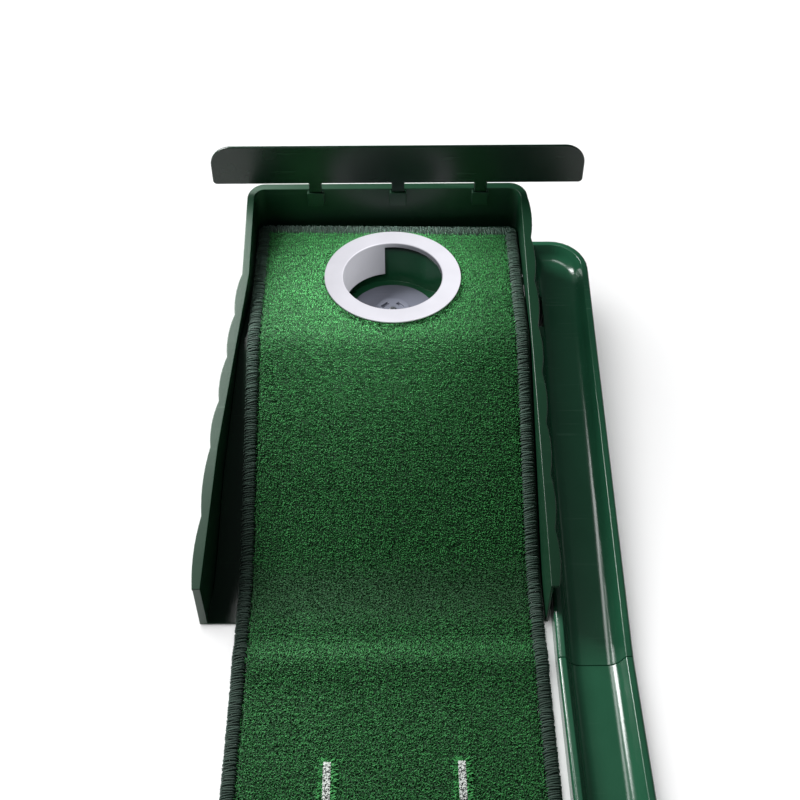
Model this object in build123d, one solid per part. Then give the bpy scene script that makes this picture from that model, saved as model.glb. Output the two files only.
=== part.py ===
"""Practice putting mat: turf climbing a moulded ramp tray to a cup, with a backboard and a ball-return gutter.

All lengths are millimetres. The origin is on the ground directly under the centre of the cup.
+X is the player's right, +Y runs from the player towards the backboard, +Z is up.
"""
import math
import os

from build123d import *

# ---- Driving dimensions -------------------------------------------------
# Mat
MAT_WIDTH = 303.0
MAT_LENGTH = 2740.0
MAT_CENTRE_X = -5.5            # the mat lies a little left of the cup
MAT_END_SKEW = 8.0             # the far end is cut this much out of square
MAT_BACK_GAP = 3.0             # far left corner to the back wall
MAT_CORNER_RADIUS = 9.0
BACKING_THICKNESS = 2.0
PILE_HEIGHT = 6.0
BINDING_WIDTH = 15.5
BINDING_HEIGHT = 9.0

# Ramp and plateau
PLATEAU_HEIGHT = 112.0         # top of the deck
RAMP_RUN = 231.0               # from the foot to the crest, seen from above
CREST_TO_RING = 18.2           # from the crest to the cup ring's edge
DECK_THICKNESS = 2.5
DECK_SIDE_GAP = 0.5
FOOT_BEND_RADIUS = 120.0
CREST_BEND_RADIUS = 60.0
LIP_BEND_RADIUS = 60.0
LIP_RISE_LENGTH = 20.0         # run over which the mat climbs on to the tray's front edge
LIP_CLEARANCE = 4.5            # the climb ends this far in front of the tray

# Tray
TRAY_APRON = 50.8              # flat floor in front of the ramp's foot
MAT_RIGHT_GAP = 1.5            # between the mat and the right wall
MAT_LEFT_GAP = 0.5             # between the mat and the left wall, beside the plateau
RING_TO_BINDING_GAP = 0.5
FLARE_BEHIND_CREST = 77.2      # the left wall starts to open this far behind the crest
FLARE_RUN = 210.0
FLARE_BACK_OFFSET = 20.0       # how far the left wall opens over that run
FLARE_FRONT_OFFSET = 7.0       # and over the rest of its length
TRAY_WALL = 2.5
TRAY_FLOOR_THICKNESS = 2.0
TRAY_CORNER_RADIUS = 12.0
RIM_FRONT_HEIGHT = 62.0
BACK_WALL_ABOVE_DECK = 55.0    # the back wall's rim stands this far above the deck
FLANGE_THICKNESS = 2.5
FLANGE_NOTCH_WIDTH = 5.5       # flange width at the notches between two scallops
FLANGE_SCALLOP = 3.0           # how far each scallop swells past the notches
SCALLOP_PITCH = 60.0
NOSE_FLANGE_WIDTH = 7.5
FOOT_PAD_HEIGHT = 0.8
FOOT_PAD_RADIUS = 13.0
FOOT_PAD_INSET = 24.0

# Cup
CUP_RADIUS = 55.5
CUP_RING_WIDTH = 21.0
CUP_RING_THICKNESS = 2.2
CUP_TUBE_WALL = 2.0
CUP_LIP_DEPTH = 7.0
CUP_SKIRT_DEPTH = 47.0
CUP_SKIRT_START_ANGLE = 99.0
CUP_SKIRT_SWEEP = 170.0
CUP_CLEARANCE = 0.5
RING_SEAT_GAP = 0.3

# Return chute under the cup
CHUTE_CUP_GAP = 4.5            # from the cup's tube to the chute's wall
CHUTE_WALL = 2.5
CHUTE_FLOOR_THICKNESS = 2.5
CHUTE_DROP = 53.0              # from the deck to the chute floor under the cup
CHUTE_FLOOR_FALL = 2.0         # degrees, down towards the gutter
CHUTE_THROAT_HALF_WIDTH = 27.0
CHUTE_THROAT_X = 96.0
SPOUT_REACH = 18.5             # how far the spout runs out past the right wall
SPOUT_SIDE_HEIGHT = 9.0
WINDOW_CLEARANCE = 1.0
DISC_EDGE_GAP = 5.5            # the disc is this much smaller in radius than the cup
DISC_EDGE_THICKNESS = 2.5
DISC_CROWN = 3.0
DISC_HUB_RADIUS = 20.0
DISC_HUB_HEIGHT = 3.0
DISC_RIB_HEIGHT = 1.6
DISC_RIB_WIDTH = 2.0
DISC_RIB_COUNT = 6
DISC_SLOT_COUNT = 4
DISC_SLOT_WIDTH = 4.0
DISC_SLOT_LENGTH = 10.0
DISC_SLOT_RADIUS = 12.4        # from the screw to the middle of a slot

# Backboard
BOARD_LEFT_OVERHANG = 46.0
BOARD_RIGHT_OVERHANG = 70.0
BOARD_HEIGHT = 50.0
BOARD_THICKNESS = 3.5
BOARD_TOP_RADIUS = 24.0
BOARD_BOTTOM_RADIUS = 5.0
BOARD_LIFT = 10.0              # gap between the rim and the board's lower edge
TONGUE_PITCH = 94.5
TONGUE_WIDTH = 14.6
TONGUE_DEPTH = 18.0            # how far a tongue reaches below the rim
TONGUE_CLEARANCE = 0.3
POCKET_WALL = 1.8

# Gutter
GUTTER_WIDTH = 72.0
GUTTER_GAP = 2.5               # between the tray's wall and the gutter
GUTTER_HEIGHT = 20.0
GUTTER_LIP_WIDTH = 8.0
GUTTER_DEPTH = 16.0
GUTTER_SIDE_DRAFT = 24.0       # degrees, the channel's sides lean outwards
GUTTER_SKIRT = 2.5
GUTTER_FLOOR_THICKNESS = 2.5
LIP_ROUNDING = 3.4
HEAD_BACK_OVERHANG = 8.0       # the head ends this far behind the back wall's inner face
HEAD_RIM_ABOVE_CHUTE = 3.0     # rise of the head piece, over the height of the chute floor
HEAD_YAW = -0.9                # degrees, the head piece toes out to the right
HEAD_CORNER_RADIUS = 44.0
JOINT_AHEAD = 51.0             # the first joint lies this far in front of the tray
SECTION_LENGTH = 500.0
SECTION_COUNT = 4
JOINT_GAP = 0.5
CATCHER_LENGTH = 190.0
PIN_RADIUS = 2.0
PIN_LENGTH = 30.0
PIN_CLEARANCE = 0.08
HOOK_SPACING = 160.0
HOOK_WIDTH = 12.0
HOOK_THICKNESS = 3.0
HOOK_HEIGHT = 40.0
HOOK_DROP = 5.0
HOOK_CLEARANCE = 0.5

# Fasteners
SCREW_RADIUS = 1.8
SCREW_HEAD_RADIUS = 4.2
SCREW_HEAD_HEIGHT = 2.0
SCREW_LENGTH = 16.0
BOSS_RADIUS = 5.0
DECK_SCREW_INSET = 29.5        # from the side walls
DECK_SCREW_BACK_INSET = 23.5   # from the back wall
POST_CLEARANCE = 0.2           # from the crest's bend to the front posts
EAR_RADIUS = 6.0
EAR_THICKNESS = 3.0
EAR_BOSS_HEIGHT = 14.0

# ---- Derived values -----------------------------------------------------
MAT_THICKNESS = BACKING_THICKNESS + PILE_HEIGHT
MAT_LEFT_X = MAT_CENTRE_X - MAT_WIDTH / 2
MAT_RIGHT_X = MAT_CENTRE_X + MAT_WIDTH / 2
CUP_RING_OUTER_RADIUS = CUP_RADIUS + CUP_RING_WIDTH
RAMP_CREST_Y = -(CUP_RING_OUTER_RADIUS + CREST_TO_RING)
RAMP_FOOT_Y = RAMP_CREST_Y - RAMP_RUN
TRAY_FRONT_Y = RAMP_FOOT_Y - TRAY_APRON
TRAY_BACK_Y = CUP_RING_OUTER_RADIUS + RING_TO_BINDING_GAP + BINDING_WIDTH + MAT_END_SKEW / 2 + MAT_BACK_GAP
MAT_BACK_Y = TRAY_BACK_Y - MAT_BACK_GAP
TRAY_RIGHT_X = MAT_RIGHT_X + MAT_RIGHT_GAP
TRAY_LEFT_BACK_X = MAT_LEFT_X - MAT_LEFT_GAP
TRAY_FLARE_Y = RAMP_CREST_Y + FLARE_BEHIND_CREST
TRAY_MID_Y = TRAY_FLARE_Y - FLARE_RUN
TRAY_LEFT_MID_X = TRAY_LEFT_BACK_X - FLARE_BACK_OFFSET
TRAY_LEFT_FRONT_X = TRAY_LEFT_MID_X - FLARE_FRONT_OFFSET
RIM_BACK_HEIGHT = PLATEAU_HEIGHT + BACK_WALL_ABOVE_DECK
FLOOR_TOP = FOOT_PAD_HEIGHT + TRAY_FLOOR_THICKNESS
DECK_UNDERSIDE = PLATEAU_HEIGHT - DECK_THICKNESS
RIM_SLOPE = (RIM_BACK_HEIGHT - RIM_FRONT_HEIGHT) / (TRAY_BACK_Y + TRAY_WALL - TRAY_FRONT_Y)
RAMP_ANGLE = math.atan2(PLATEAU_HEIGHT - FLOOR_TOP, RAMP_RUN)
TALL = 400.0                   # taller and wider than any piece, for cutting blocks
GUTTER_LEFT_X = TRAY_RIGHT_X + TRAY_WALL + GUTTER_GAP
GUTTER_RIGHT_X = GUTTER_LEFT_X + GUTTER_WIDTH
GUTTER_CENTRE_X = GUTTER_LEFT_X + GUTTER_WIDTH / 2
JOINT_Y = TRAY_FRONT_Y - JOINT_AHEAD
CHUTE_FLOOR_HEIGHT = PLATEAU_HEIGHT - CHUTE_DROP
HEAD_BACK_Y = TRAY_BACK_Y + HEAD_BACK_OVERHANG
HEAD_SLOPE = (CHUTE_FLOOR_HEIGHT + HEAD_RIM_ABOVE_CHUTE) / (HEAD_BACK_Y - JOINT_Y)
MAT_TOP = PLATEAU_HEIGHT + MAT_THICKNESS
CUP_TUBE_RADIUS = CUP_RADIUS + CUP_TUBE_WALL
CHUTE_INNER_RADIUS = CUP_TUBE_RADIUS + CHUTE_CUP_GAP
DISC_RADIUS = CUP_RADIUS - DISC_EDGE_GAP
SPOUT_END_X = TRAY_RIGHT_X + SPOUT_REACH
BOARD_LENGTH = TRAY_RIGHT_X - TRAY_LEFT_BACK_X + BOARD_LEFT_OVERHANG + BOARD_RIGHT_OVERHANG
BOARD_CENTRE_X = TRAY_LEFT_BACK_X - BOARD_LEFT_OVERHANG + BOARD_LENGTH / 2
DECK_HOLE_RADIUS = CUP_TUBE_RADIUS + CUP_CLEARANCE


def rim_height(y):
    """Height of the tray's sloping rim at a place along the tray."""
    return RIM_FRONT_HEIGHT + RIM_SLOPE * (y - TRAY_FRONT_Y)


def box(x0, x1, y0, y1, z0, z1):
    """A block between two corners."""
    block = Box(x1 - x0, y1 - y0, z1 - z0)
    return Pos((x0 + x1) / 2, (y0 + y1) / 2, (z0 + z1) / 2) * block


def cylinder(x, y, z0, z1, radius):
    """An upright cylinder between two heights."""
    return Pos(x, y, (z0 + z1) / 2) * Cylinder(radius, z1 - z0)


def below_plane(height_at_origin, slope):
    """A large block whose top is a plane that rises along +Y."""
    angle = math.degrees(math.atan(slope))
    block = Box(4 * TALL, 2 * MAT_LENGTH + 4 * TALL, 2 * TALL)
    return Pos(0, 0, height_at_origin) * Rot(angle, 0, 0) * Pos(0, 0, -TALL) * block


def only_solid(shape):
    """The one solid that a cut or a join leaves."""
    solids = shape.solids()
    assert len(solids) == 1, f"{len(solids)} solids where one was expected"
    return solids[0]


def save(node, shape):
    export_step(shape, f"parts/{node}.step")


# ---- Mat ----------------------------------------------------------------
def offset_corners(corners, distance):
    """The corners of a line parallel to an open line of straight runs, on its left side."""
    moved = []
    for index, (y, z) in enumerate(corners):
        before = corners[max(index - 1, 0)]
        after = corners[min(index + 1, len(corners) - 1)]
        back = math.atan2(z - before[1], y - before[0]) if index else None
        ahead = math.atan2(after[1] - z, after[0] - y) if index < len(corners) - 1 else None
        back = ahead if back is None else back
        ahead = back if ahead is None else ahead
        middle = (back + ahead) / 2
        reach = distance / math.cos((ahead - back) / 2)
        moved.append((y - reach * math.sin(middle), z + reach * math.cos(middle)))
    return moved


def mat_line():
    """Corners and bend radii of the mat's underside, from the player's end to the back wall."""
    slope_length = math.hypot(RAMP_CREST_Y - RAMP_FOOT_Y, PLATEAU_HEIGHT - FLOOR_TOP)
    lip_end_y = TRAY_FRONT_Y - LIP_CLEARANCE
    lip_start_y = lip_end_y - LIP_RISE_LENGTH
    lip_length = math.hypot(LIP_RISE_LENGTH, FLOOR_TOP)
    used = (MAT_BACK_Y - RAMP_CREST_Y) + slope_length + (RAMP_FOOT_Y - lip_end_y) + lip_length
    front_y = lip_start_y - (MAT_LENGTH - used)
    corners = [
        (front_y, 0.0),
        (lip_start_y, 0.0),
        (lip_end_y, FLOOR_TOP),
        (RAMP_FOOT_Y, FLOOR_TOP),
        (RAMP_CREST_Y, PLATEAU_HEIGHT),
        (MAT_BACK_Y, PLATEAU_HEIGHT),
    ]
    bends = [LIP_BEND_RADIUS, -LIP_BEND_RADIUS, FOOT_BEND_RADIUS, -CREST_BEND_RADIUS]
    return corners, bends


def layer(corners, bends, low, high, width, centre_x):
    """A sheet between two heights over a bent line, as wide as asked."""
    lower_corners = offset_corners(corners, low)
    upper_corners = offset_corners(corners, high)
    lower = FilletPolyline(*[(y, z) for y, z in lower_corners], radius=[abs(b - low) for b in bends])
    upper = FilletPolyline(*[(y, z) for y, z in upper_corners], radius=[abs(b - high) for b in bends])
    ends = [
        Line(lower_corners[0], upper_corners[0]),
        Line(lower_corners[-1], upper_corners[-1]),
    ]
    profile = make_face([lower, upper, *ends])
    side_view = Plane(origin=(centre_x - width / 2, 0, 0), x_dir=(0, 1, 0), z_dir=(1, 0, 0))
    return extrude(side_view * profile, width)


def mat_plan(inset, front_y, corner_radius):
    """The mat's outline from above, moved in from every edge; the far end is slightly out of square."""
    outline = Polygon(
        (MAT_LEFT_X + inset, front_y + inset),
        (MAT_RIGHT_X - inset, front_y + inset),
        (MAT_RIGHT_X - inset, MAT_BACK_Y - MAT_END_SKEW - inset),
        (MAT_LEFT_X + inset, MAT_BACK_Y - inset),
        align=None,
    )
    outline = fillet(outline.vertices(), corner_radius)
    return Pos(0, 0, -TALL / 2) * extrude(outline, TALL)


def in_stretches(shape):
    """A layer of the mat divided at its bends, and along the cup's centre line on the plateau.

    The stretches meet face to face and are simple solids, which a single bent and pierced sheet isn't.
    """
    corners, _ = mat_line()
    ends = [corners[0][0] - TALL, corners[2][0], corners[3][0], corners[4][0]]
    blocks = [box(-TALL, TALL, y0, y1, -TALL, TALL) for y0, y1 in zip(ends, ends[1:])]
    blocks.append(box(-TALL, 0, ends[-1], TALL, -TALL, TALL))
    blocks.append(box(0, TALL, ends[-1], TALL, -TALL, TALL))
    return Compound(children=[solid for block in blocks for solid in (shape & block).solids()])


def make_mat():
    corners, bends = mat_line()
    front_y = corners[0][0]
    inner = mat_plan(BINDING_WIDTH, front_y, MAT_CORNER_RADIUS / 3)
    outer = mat_plan(0.0, front_y, MAT_CORNER_RADIUS)
    hole = cylinder(0, 0, PLATEAU_HEIGHT - TALL / 2, MAT_TOP + TALL / 2, DECK_HOLE_RADIUS + CUP_CLEARANCE)
    backing = layer(corners, bends, 0.0, BACKING_THICKNESS, MAT_WIDTH, MAT_CENTRE_X)
    pile = layer(corners, bends, BACKING_THICKNESS, MAT_THICKNESS, MAT_WIDTH, MAT_CENTRE_X)
    binding = layer(corners, bends, 0.0, BINDING_HEIGHT, MAT_WIDTH, MAT_CENTRE_X)
    save("mat_backing", in_stretches((backing & inner) - hole))
    save("turf_pile", in_stretches((pile & inner) - hole))
    save("edge_binding", in_stretches((binding & outer) - inner))


# ---- Tray ---------------------------------------------------------------
def tray_corners(grow, front_y):
    """The tray's wall line seen from above, moved outwards; the left wall opens towards the player."""
    flare = math.atan2(TRAY_LEFT_BACK_X - TRAY_LEFT_MID_X, TRAY_FLARE_Y - TRAY_MID_Y)
    front_flare = math.atan2(TRAY_LEFT_MID_X - TRAY_LEFT_FRONT_X, TRAY_MID_Y - TRAY_FRONT_Y)
    left_front_x = TRAY_LEFT_FRONT_X + (front_y - TRAY_FRONT_Y) * math.tan(front_flare)
    return [
        (TRAY_RIGHT_X + grow, front_y),
        (TRAY_RIGHT_X + grow, TRAY_BACK_Y + grow),
        (TRAY_LEFT_BACK_X - grow, TRAY_BACK_Y + grow),
        (TRAY_LEFT_BACK_X - grow, TRAY_FLARE_Y + grow * math.tan(flare / 2)),
        (TRAY_LEFT_MID_X - grow / math.cos(front_flare), TRAY_MID_Y),
        (left_front_x - grow / math.cos(front_flare), front_y),
    ]


def tray_plan(grow, front_y, height):
    outline = Polygon(*tray_corners(grow, front_y), align=None)
    back_corners = outline.vertices().sort_by(Axis.Y)[-2:]
    outline = fillet(back_corners, TRAY_CORNER_RADIUS + grow)
    return extrude(outline, height)


def scalloped_side(start, end):
    """Arcs that swell outwards between evenly spaced notches, from one end of a wall to the other."""
    run = Vector(*end) - Vector(*start)
    count = max(1, round(run.length / SCALLOP_PITCH))
    outwards = Vector(run.Y, -run.X).normalized() * FLANGE_SCALLOP
    arcs = []
    for index in range(count):
        first = Vector(*start) + run * (index / count)
        last = Vector(*start) + run * ((index + 1) / count)
        arcs.append(ThreePointArc(first, (first + last) / 2 + outwards, last))
    return arcs


def flange_plan():
    """The rim flange's outline from above: scalloped along both sides, plain along the back."""
    reach = TRAY_WALL + FLANGE_NOTCH_WIDTH
    corners = tray_corners(reach, TRAY_FRONT_Y)
    radius = TRAY_CORNER_RADIUS + reach
    right_back, left_back = corners[1], corners[2]
    right_top = (right_back[0], right_back[1] - radius)
    back_right = (right_back[0] - radius, right_back[1])
    back_left = (left_back[0] + radius, left_back[1])
    left_top = (left_back[0], left_back[1] - radius)
    diagonal = radius * (1 - math.sqrt(0.5))
    edges = scalloped_side(corners[0], right_top)
    edges.append(ThreePointArc(right_top, (right_back[0] - diagonal, right_back[1] - diagonal), back_right))
    edges.append(Line(back_right, back_left))
    edges.append(ThreePointArc(back_left, (left_back[0] + diagonal, left_back[1] - diagonal), left_top))
    edges.append(Line(left_top, corners[3]))
    edges += scalloped_side(corners[3], corners[4])
    edges += scalloped_side(corners[4], corners[5])
    edges.append(Line(corners[5], corners[0]))
    return make_face(edges)


def tongue_centres():
    return [BOARD_CENTRE_X + step * TONGUE_PITCH for step in (-1, 0, 1)]


def tongue_block(x, grow, top):
    """The space of one backboard tongue, grown all round by a clearance or a wall."""
    half = TONGUE_WIDTH / 2 + grow
    back = TRAY_BACK_Y - TONGUE_CLEARANCE
    front = back - BOARD_THICKNESS - grow
    bottom = RIM_BACK_HEIGHT - TONGUE_DEPTH - grow
    return box(x - half, x + half, front, back + min(grow, TONGUE_CLEARANCE), bottom, top)


def hook_places():
    return [-HOOK_SPACING / 2, HOOK_SPACING / 2]


def deck_screw_places():
    """On each side, one place close behind the crest's bend and one near the back wall."""
    left_x = TRAY_LEFT_BACK_X + DECK_SCREW_INSET
    right_x = TRAY_RIGHT_X - DECK_SCREW_INSET
    bend_run = CREST_BEND_RADIUS * math.tan(RAMP_ANGLE / 2)
    front_y = RAMP_CREST_Y + bend_run + BOSS_RADIUS + POST_CLEARANCE
    back_y = TRAY_BACK_Y - DECK_SCREW_BACK_INSET
    return [(x, y) for x in (left_x, right_x) for y in (front_y, back_y)]


def ear_places():
    reach = CHUTE_INNER_RADIUS + CHUTE_WALL + EAR_RADIUS
    angles = (135.0, 225.0)
    places = [(reach * math.cos(math.radians(a)), reach * math.sin(math.radians(a))) for a in angles]
    return places + [(CHUTE_THROAT_X + EAR_RADIUS, -CHUTE_THROAT_HALF_WIDTH - CHUTE_WALL - EAR_RADIUS)]


def foot_pad_places():
    back_y = TRAY_BACK_Y - FOOT_PAD_INSET
    front_y = TRAY_FRONT_Y + FOOT_PAD_INSET
    left_back = TRAY_LEFT_BACK_X + FOOT_PAD_INSET
    left_front = TRAY_LEFT_FRONT_X + FOOT_PAD_INSET
    right_x = TRAY_RIGHT_X - FOOT_PAD_INSET
    return [(0, 0), (left_back, back_y), (right_x, back_y), (left_front, front_y), (right_x, front_y)]


def make_tray():
    under_rim = below_plane(rim_height(0), RIM_SLOPE)
    over_flange = below_plane(rim_height(0) - FLANGE_THICKNESS, RIM_SLOPE)
    lift = Pos(0, 0, FOOT_PAD_HEIGHT)
    outside = lift * tray_plan(TRAY_WALL, TRAY_FRONT_Y, TALL)
    inside = Pos(0, 0, FLOOR_TOP) * tray_plan(0.0, TRAY_FRONT_Y - TALL, TALL)
    flange = extrude(flange_plan(), TALL) & under_rim
    flange = flange - over_flange - inside
    shell = (outside & under_rim) - inside + flange
    nose_x = TRAY_LEFT_FRONT_X - TRAY_WALL
    nose = box(nose_x - NOSE_FLANGE_WIDTH + TRAY_WALL, nose_x + 1, TRAY_FRONT_Y, TRAY_FRONT_Y + TRAY_WALL,
               FOOT_PAD_HEIGHT, RIM_FRONT_HEIGHT)
    shell += nose & under_rim
    for x, y in deck_screw_places():
        shell += cylinder(x, y, FLOOR_TOP, DECK_UNDERSIDE, BOSS_RADIUS)
        shell -= cylinder(x, y, DECK_UNDERSIDE - SCREW_LENGTH, DECK_UNDERSIDE, SCREW_RADIUS)
    for x, y in ear_places():
        shell += cylinder(x, y, FLOOR_TOP, EAR_BOSS_HEIGHT, BOSS_RADIUS)
        shell -= cylinder(x, y, EAR_BOSS_HEIGHT + EAR_THICKNESS - SCREW_LENGTH, EAR_BOSS_HEIGHT, SCREW_RADIUS)
    for x in tongue_centres():
        pocket = tongue_block(x, TONGUE_CLEARANCE + POCKET_WALL, RIM_BACK_HEIGHT - FLANGE_THICKNESS)
        shell += pocket
        shell -= tongue_block(x, TONGUE_CLEARANCE, RIM_BACK_HEIGHT)
    window_half = CHUTE_THROAT_HALF_WIDTH + CHUTE_WALL + WINDOW_CLEARANCE
    window_floor = spout_top(TRAY_RIGHT_X) - CHUTE_FLOOR_THICKNESS - 2 * WINDOW_CLEARANCE
    shell -= box(TRAY_RIGHT_X - 1, TRAY_RIGHT_X + TRAY_WALL + 1, -window_half, window_half,
                 window_floor, DECK_UNDERSIDE)
    for y in hook_places():
        half = HOOK_WIDTH / 2 + HOOK_CLEARANCE
        shell -= box(TRAY_RIGHT_X - 1, TRAY_RIGHT_X + TRAY_WALL + 1, y - half, y + half,
                     HOOK_HEIGHT - HOOK_DROP - HOOK_CLEARANCE, HOOK_HEIGHT + HOOK_THICKNESS + HOOK_CLEARANCE)
    save("tray_shell", only_solid(shell))
    pads = [cylinder(x, y, 0, FOOT_PAD_HEIGHT, FOOT_PAD_RADIUS) for x, y in foot_pad_places()]
    save("rubber_feet", Compound(children=[only_solid(pad) for pad in pads]))


def make_deck():
    """The ramp and plateau insert: a bent plate with a rolled-down edge each side and a hole for the cup."""
    corners, bends = mat_line()
    toe = (RAMP_FOOT_Y - FOOT_BEND_RADIUS / 3, FLOOR_TOP)
    back = (TRAY_BACK_Y - DECK_SIDE_GAP, PLATEAU_HEIGHT)
    deck_corners = [toe, corners[3], corners[4], back]
    deck_bends = bends[2:]
    plate = layer(deck_corners, deck_bends, -DECK_THICKNESS, 0.0, 2 * TALL, 0)
    inside = tray_plan(-DECK_SIDE_GAP, TRAY_FRONT_Y - TALL, TALL)
    deck = plate & inside
    deck &= box(-TALL, TALL, -2 * TALL, TALL, FLOOR_TOP, TALL)
    deck -= cylinder(0, 0, 0, TALL, DECK_HOLE_RADIUS)
    for x, y in deck_screw_places():
        deck -= cylinder(x, y, 0, TALL, SCREW_RADIUS)
        sink = Cone(SCREW_RADIUS, SCREW_HEAD_RADIUS, SCREW_HEAD_HEIGHT)
        deck -= Pos(x, y, PLATEAU_HEIGHT - SCREW_HEAD_HEIGHT / 2) * sink
    save("ramp_deck", only_solid(deck))


def make_deck_screws():
    """Countersunk screws that hold the deck to the tray's posts, heads flush under the mat."""
    screws = []
    tip = DECK_UNDERSIDE - SCREW_LENGTH
    neck = PLATEAU_HEIGHT - SCREW_HEAD_HEIGHT
    for x, y in deck_screw_places():
        head = Pos(x, y, PLATEAU_HEIGHT - SCREW_HEAD_HEIGHT / 2) * Cone(
            SCREW_RADIUS, SCREW_HEAD_RADIUS, SCREW_HEAD_HEIGHT)
        screws.append(only_solid(cylinder(x, y, tip, neck, SCREW_RADIUS) + head))
    save("deck_screws", Compound(children=screws))


# ---- Cup and return chute -----------------------------------------------
def spout_top(x):
    """Height of the chute floor's upper face, which falls towards the gutter."""
    return CHUTE_FLOOR_HEIGHT - x * math.tan(math.radians(CHUTE_FLOOR_FALL))


def chute_plan(grow):
    """The chute seen from above: round under the cup, narrowing to a straight throat."""
    radius = CHUTE_INNER_RADIUS + grow
    half = CHUTE_THROAT_HALF_WIDTH + grow
    neck = Polygon((0, -radius), (CHUTE_THROAT_X, -half), (CHUTE_THROAT_X, half), (0, radius), align=None)
    throat = Pos((CHUTE_THROAT_X + SPOUT_END_X) / 2, 0) * Rectangle(SPOUT_END_X - CHUTE_THROAT_X, 2 * half)
    return Circle(radius) + neck + throat


def make_chute():
    inner_end = TRAY_RIGHT_X - DECK_SIDE_GAP
    top = DECK_UNDERSIDE
    outer = Pos(0, 0, FLOOR_TOP) * extrude(chute_plan(CHUTE_WALL), top - FLOOR_TOP)
    hollow = extrude(chute_plan(0.0) + Pos(SPOUT_END_X, 0) * Rectangle(4, 2 * CHUTE_THROAT_HALF_WIDTH), TALL)
    walls = outer - hollow
    slab = Pos(0, 0, -CHUTE_FLOOR_THICKNESS / 2) * Box(4 * TALL, 2 * TALL, CHUTE_FLOOR_THICKNESS)
    slab = Pos(0, 0, CHUTE_FLOOR_HEIGHT) * Rot(0, CHUTE_FLOOR_FALL, 0) * slab
    floor = slab & outer
    chute = walls + floor
    beyond = box(inner_end, TALL, -TALL, TALL, -TALL, TALL)
    spout_low = spout_top(SPOUT_END_X) - CHUTE_FLOOR_THICKNESS
    spout = box(inner_end, SPOUT_END_X, -TALL, TALL, spout_low, spout_top(inner_end) + SPOUT_SIDE_HEIGHT)
    chute = (chute - beyond) + (chute & spout)
    for x, y in ear_places():
        ear = cylinder(x, y, EAR_BOSS_HEIGHT, EAR_BOSS_HEIGHT + EAR_THICKNESS, EAR_RADIUS)
        centre = Vector(x, y)
        bridge = Pos(x, y, EAR_BOSS_HEIGHT + EAR_THICKNESS / 2) * Rot(
            0, 0, math.degrees(math.atan2(-centre.Y, -centre.X if x < 0 else 0)))
        ear += bridge * Pos(EAR_RADIUS / 2 + 1, 0, 0) * Box(EAR_RADIUS + 2, 2 * EAR_RADIUS, EAR_THICKNESS)
        chute += ear - hollow
        chute -= cylinder(x, y, 0, EAR_BOSS_HEIGHT + EAR_THICKNESS, SCREW_RADIUS)
    boss_top = CHUTE_FLOOR_HEIGHT - CHUTE_FLOOR_THICKNESS / 2
    chute += cylinder(0, 0, boss_top - SCREW_LENGTH, boss_top, BOSS_RADIUS)
    chute -= cylinder(0, 0, boss_top - SCREW_LENGTH, TALL, SCREW_RADIUS)
    save("return_chute", only_solid(chute))


def make_chute_screws():
    """Pan-head screws through the chute's ears into the tray's bosses."""
    screws = []
    seat = EAR_BOSS_HEIGHT + EAR_THICKNESS
    for x, y in ear_places():
        shank = cylinder(x, y, max(seat - SCREW_LENGTH, FLOOR_TOP), seat, SCREW_RADIUS)
        head = cylinder(x, y, seat, seat + SCREW_HEAD_HEIGHT, SCREW_HEAD_RADIUS)
        screws.append(only_solid(shank + head))
    save("chute_screws", Compound(children=screws))


def disc_seat():
    """Underside height of the cup floor disc, which stands on the highest part of the chute floor."""
    return spout_top(-DISC_RADIUS)


def make_cup_floor():
    """The shallow cone at the bottom of the cup, with radial ribs and a slotted hub."""
    seat = disc_seat()
    edge = seat + DISC_EDGE_THICKNESS
    cone = Pos(0, 0, edge + DISC_CROWN / 2) * Cone(DISC_RADIUS, DISC_HUB_RADIUS, DISC_CROWN)
    disc = cylinder(0, 0, seat, edge, DISC_RADIUS) + cone
    crown = edge + DISC_CROWN
    for index in range(DISC_RIB_COUNT):
        rib = Pos(DISC_RADIUS / 2, 0, edge + DISC_RIB_HEIGHT / 2) * Box(
            DISC_RADIUS - DISC_RIB_WIDTH, DISC_RIB_WIDTH, DISC_RIB_HEIGHT)
        tilt = math.degrees(math.atan2(DISC_CROWN, DISC_RADIUS - DISC_HUB_RADIUS))
        raised = Pos(0, 0, DISC_CROWN / 2) * Pos(0, 0, edge) * Rot(0, tilt, 0) * Pos(0, 0, -edge) * rib
        disc += Rot(0, 0, 90 + 360 * index / DISC_RIB_COUNT) * raised
    disc += cylinder(0, 0, edge, crown + DISC_HUB_HEIGHT, DISC_HUB_RADIUS)
    for index in range(DISC_SLOT_COUNT):
        slot = Pos(DISC_SLOT_RADIUS, 0, crown + DISC_HUB_HEIGHT) * Box(
            DISC_SLOT_WIDTH, DISC_SLOT_LENGTH, 2 * DISC_HUB_HEIGHT)
        disc -= Rot(0, 0, 45 + 360 * index / DISC_SLOT_COUNT) * slot
    disc &= cylinder(0, 0, seat, TALL, DISC_RADIUS)
    disc -= cylinder(0, 0, 0, TALL, SCREW_RADIUS)
    save("cup_floor", only_solid(disc))
    seat_height = crown + DISC_HUB_HEIGHT
    tip = CHUTE_FLOOR_HEIGHT - CHUTE_FLOOR_THICKNESS / 2 - SCREW_LENGTH
    screw = cylinder(0, 0, tip, seat_height, SCREW_RADIUS)
    screw += cylinder(0, 0, seat_height, seat_height + SCREW_HEAD_HEIGHT, SCREW_HEAD_RADIUS)
    save("cup_floor_screw", only_solid(screw))


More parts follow.
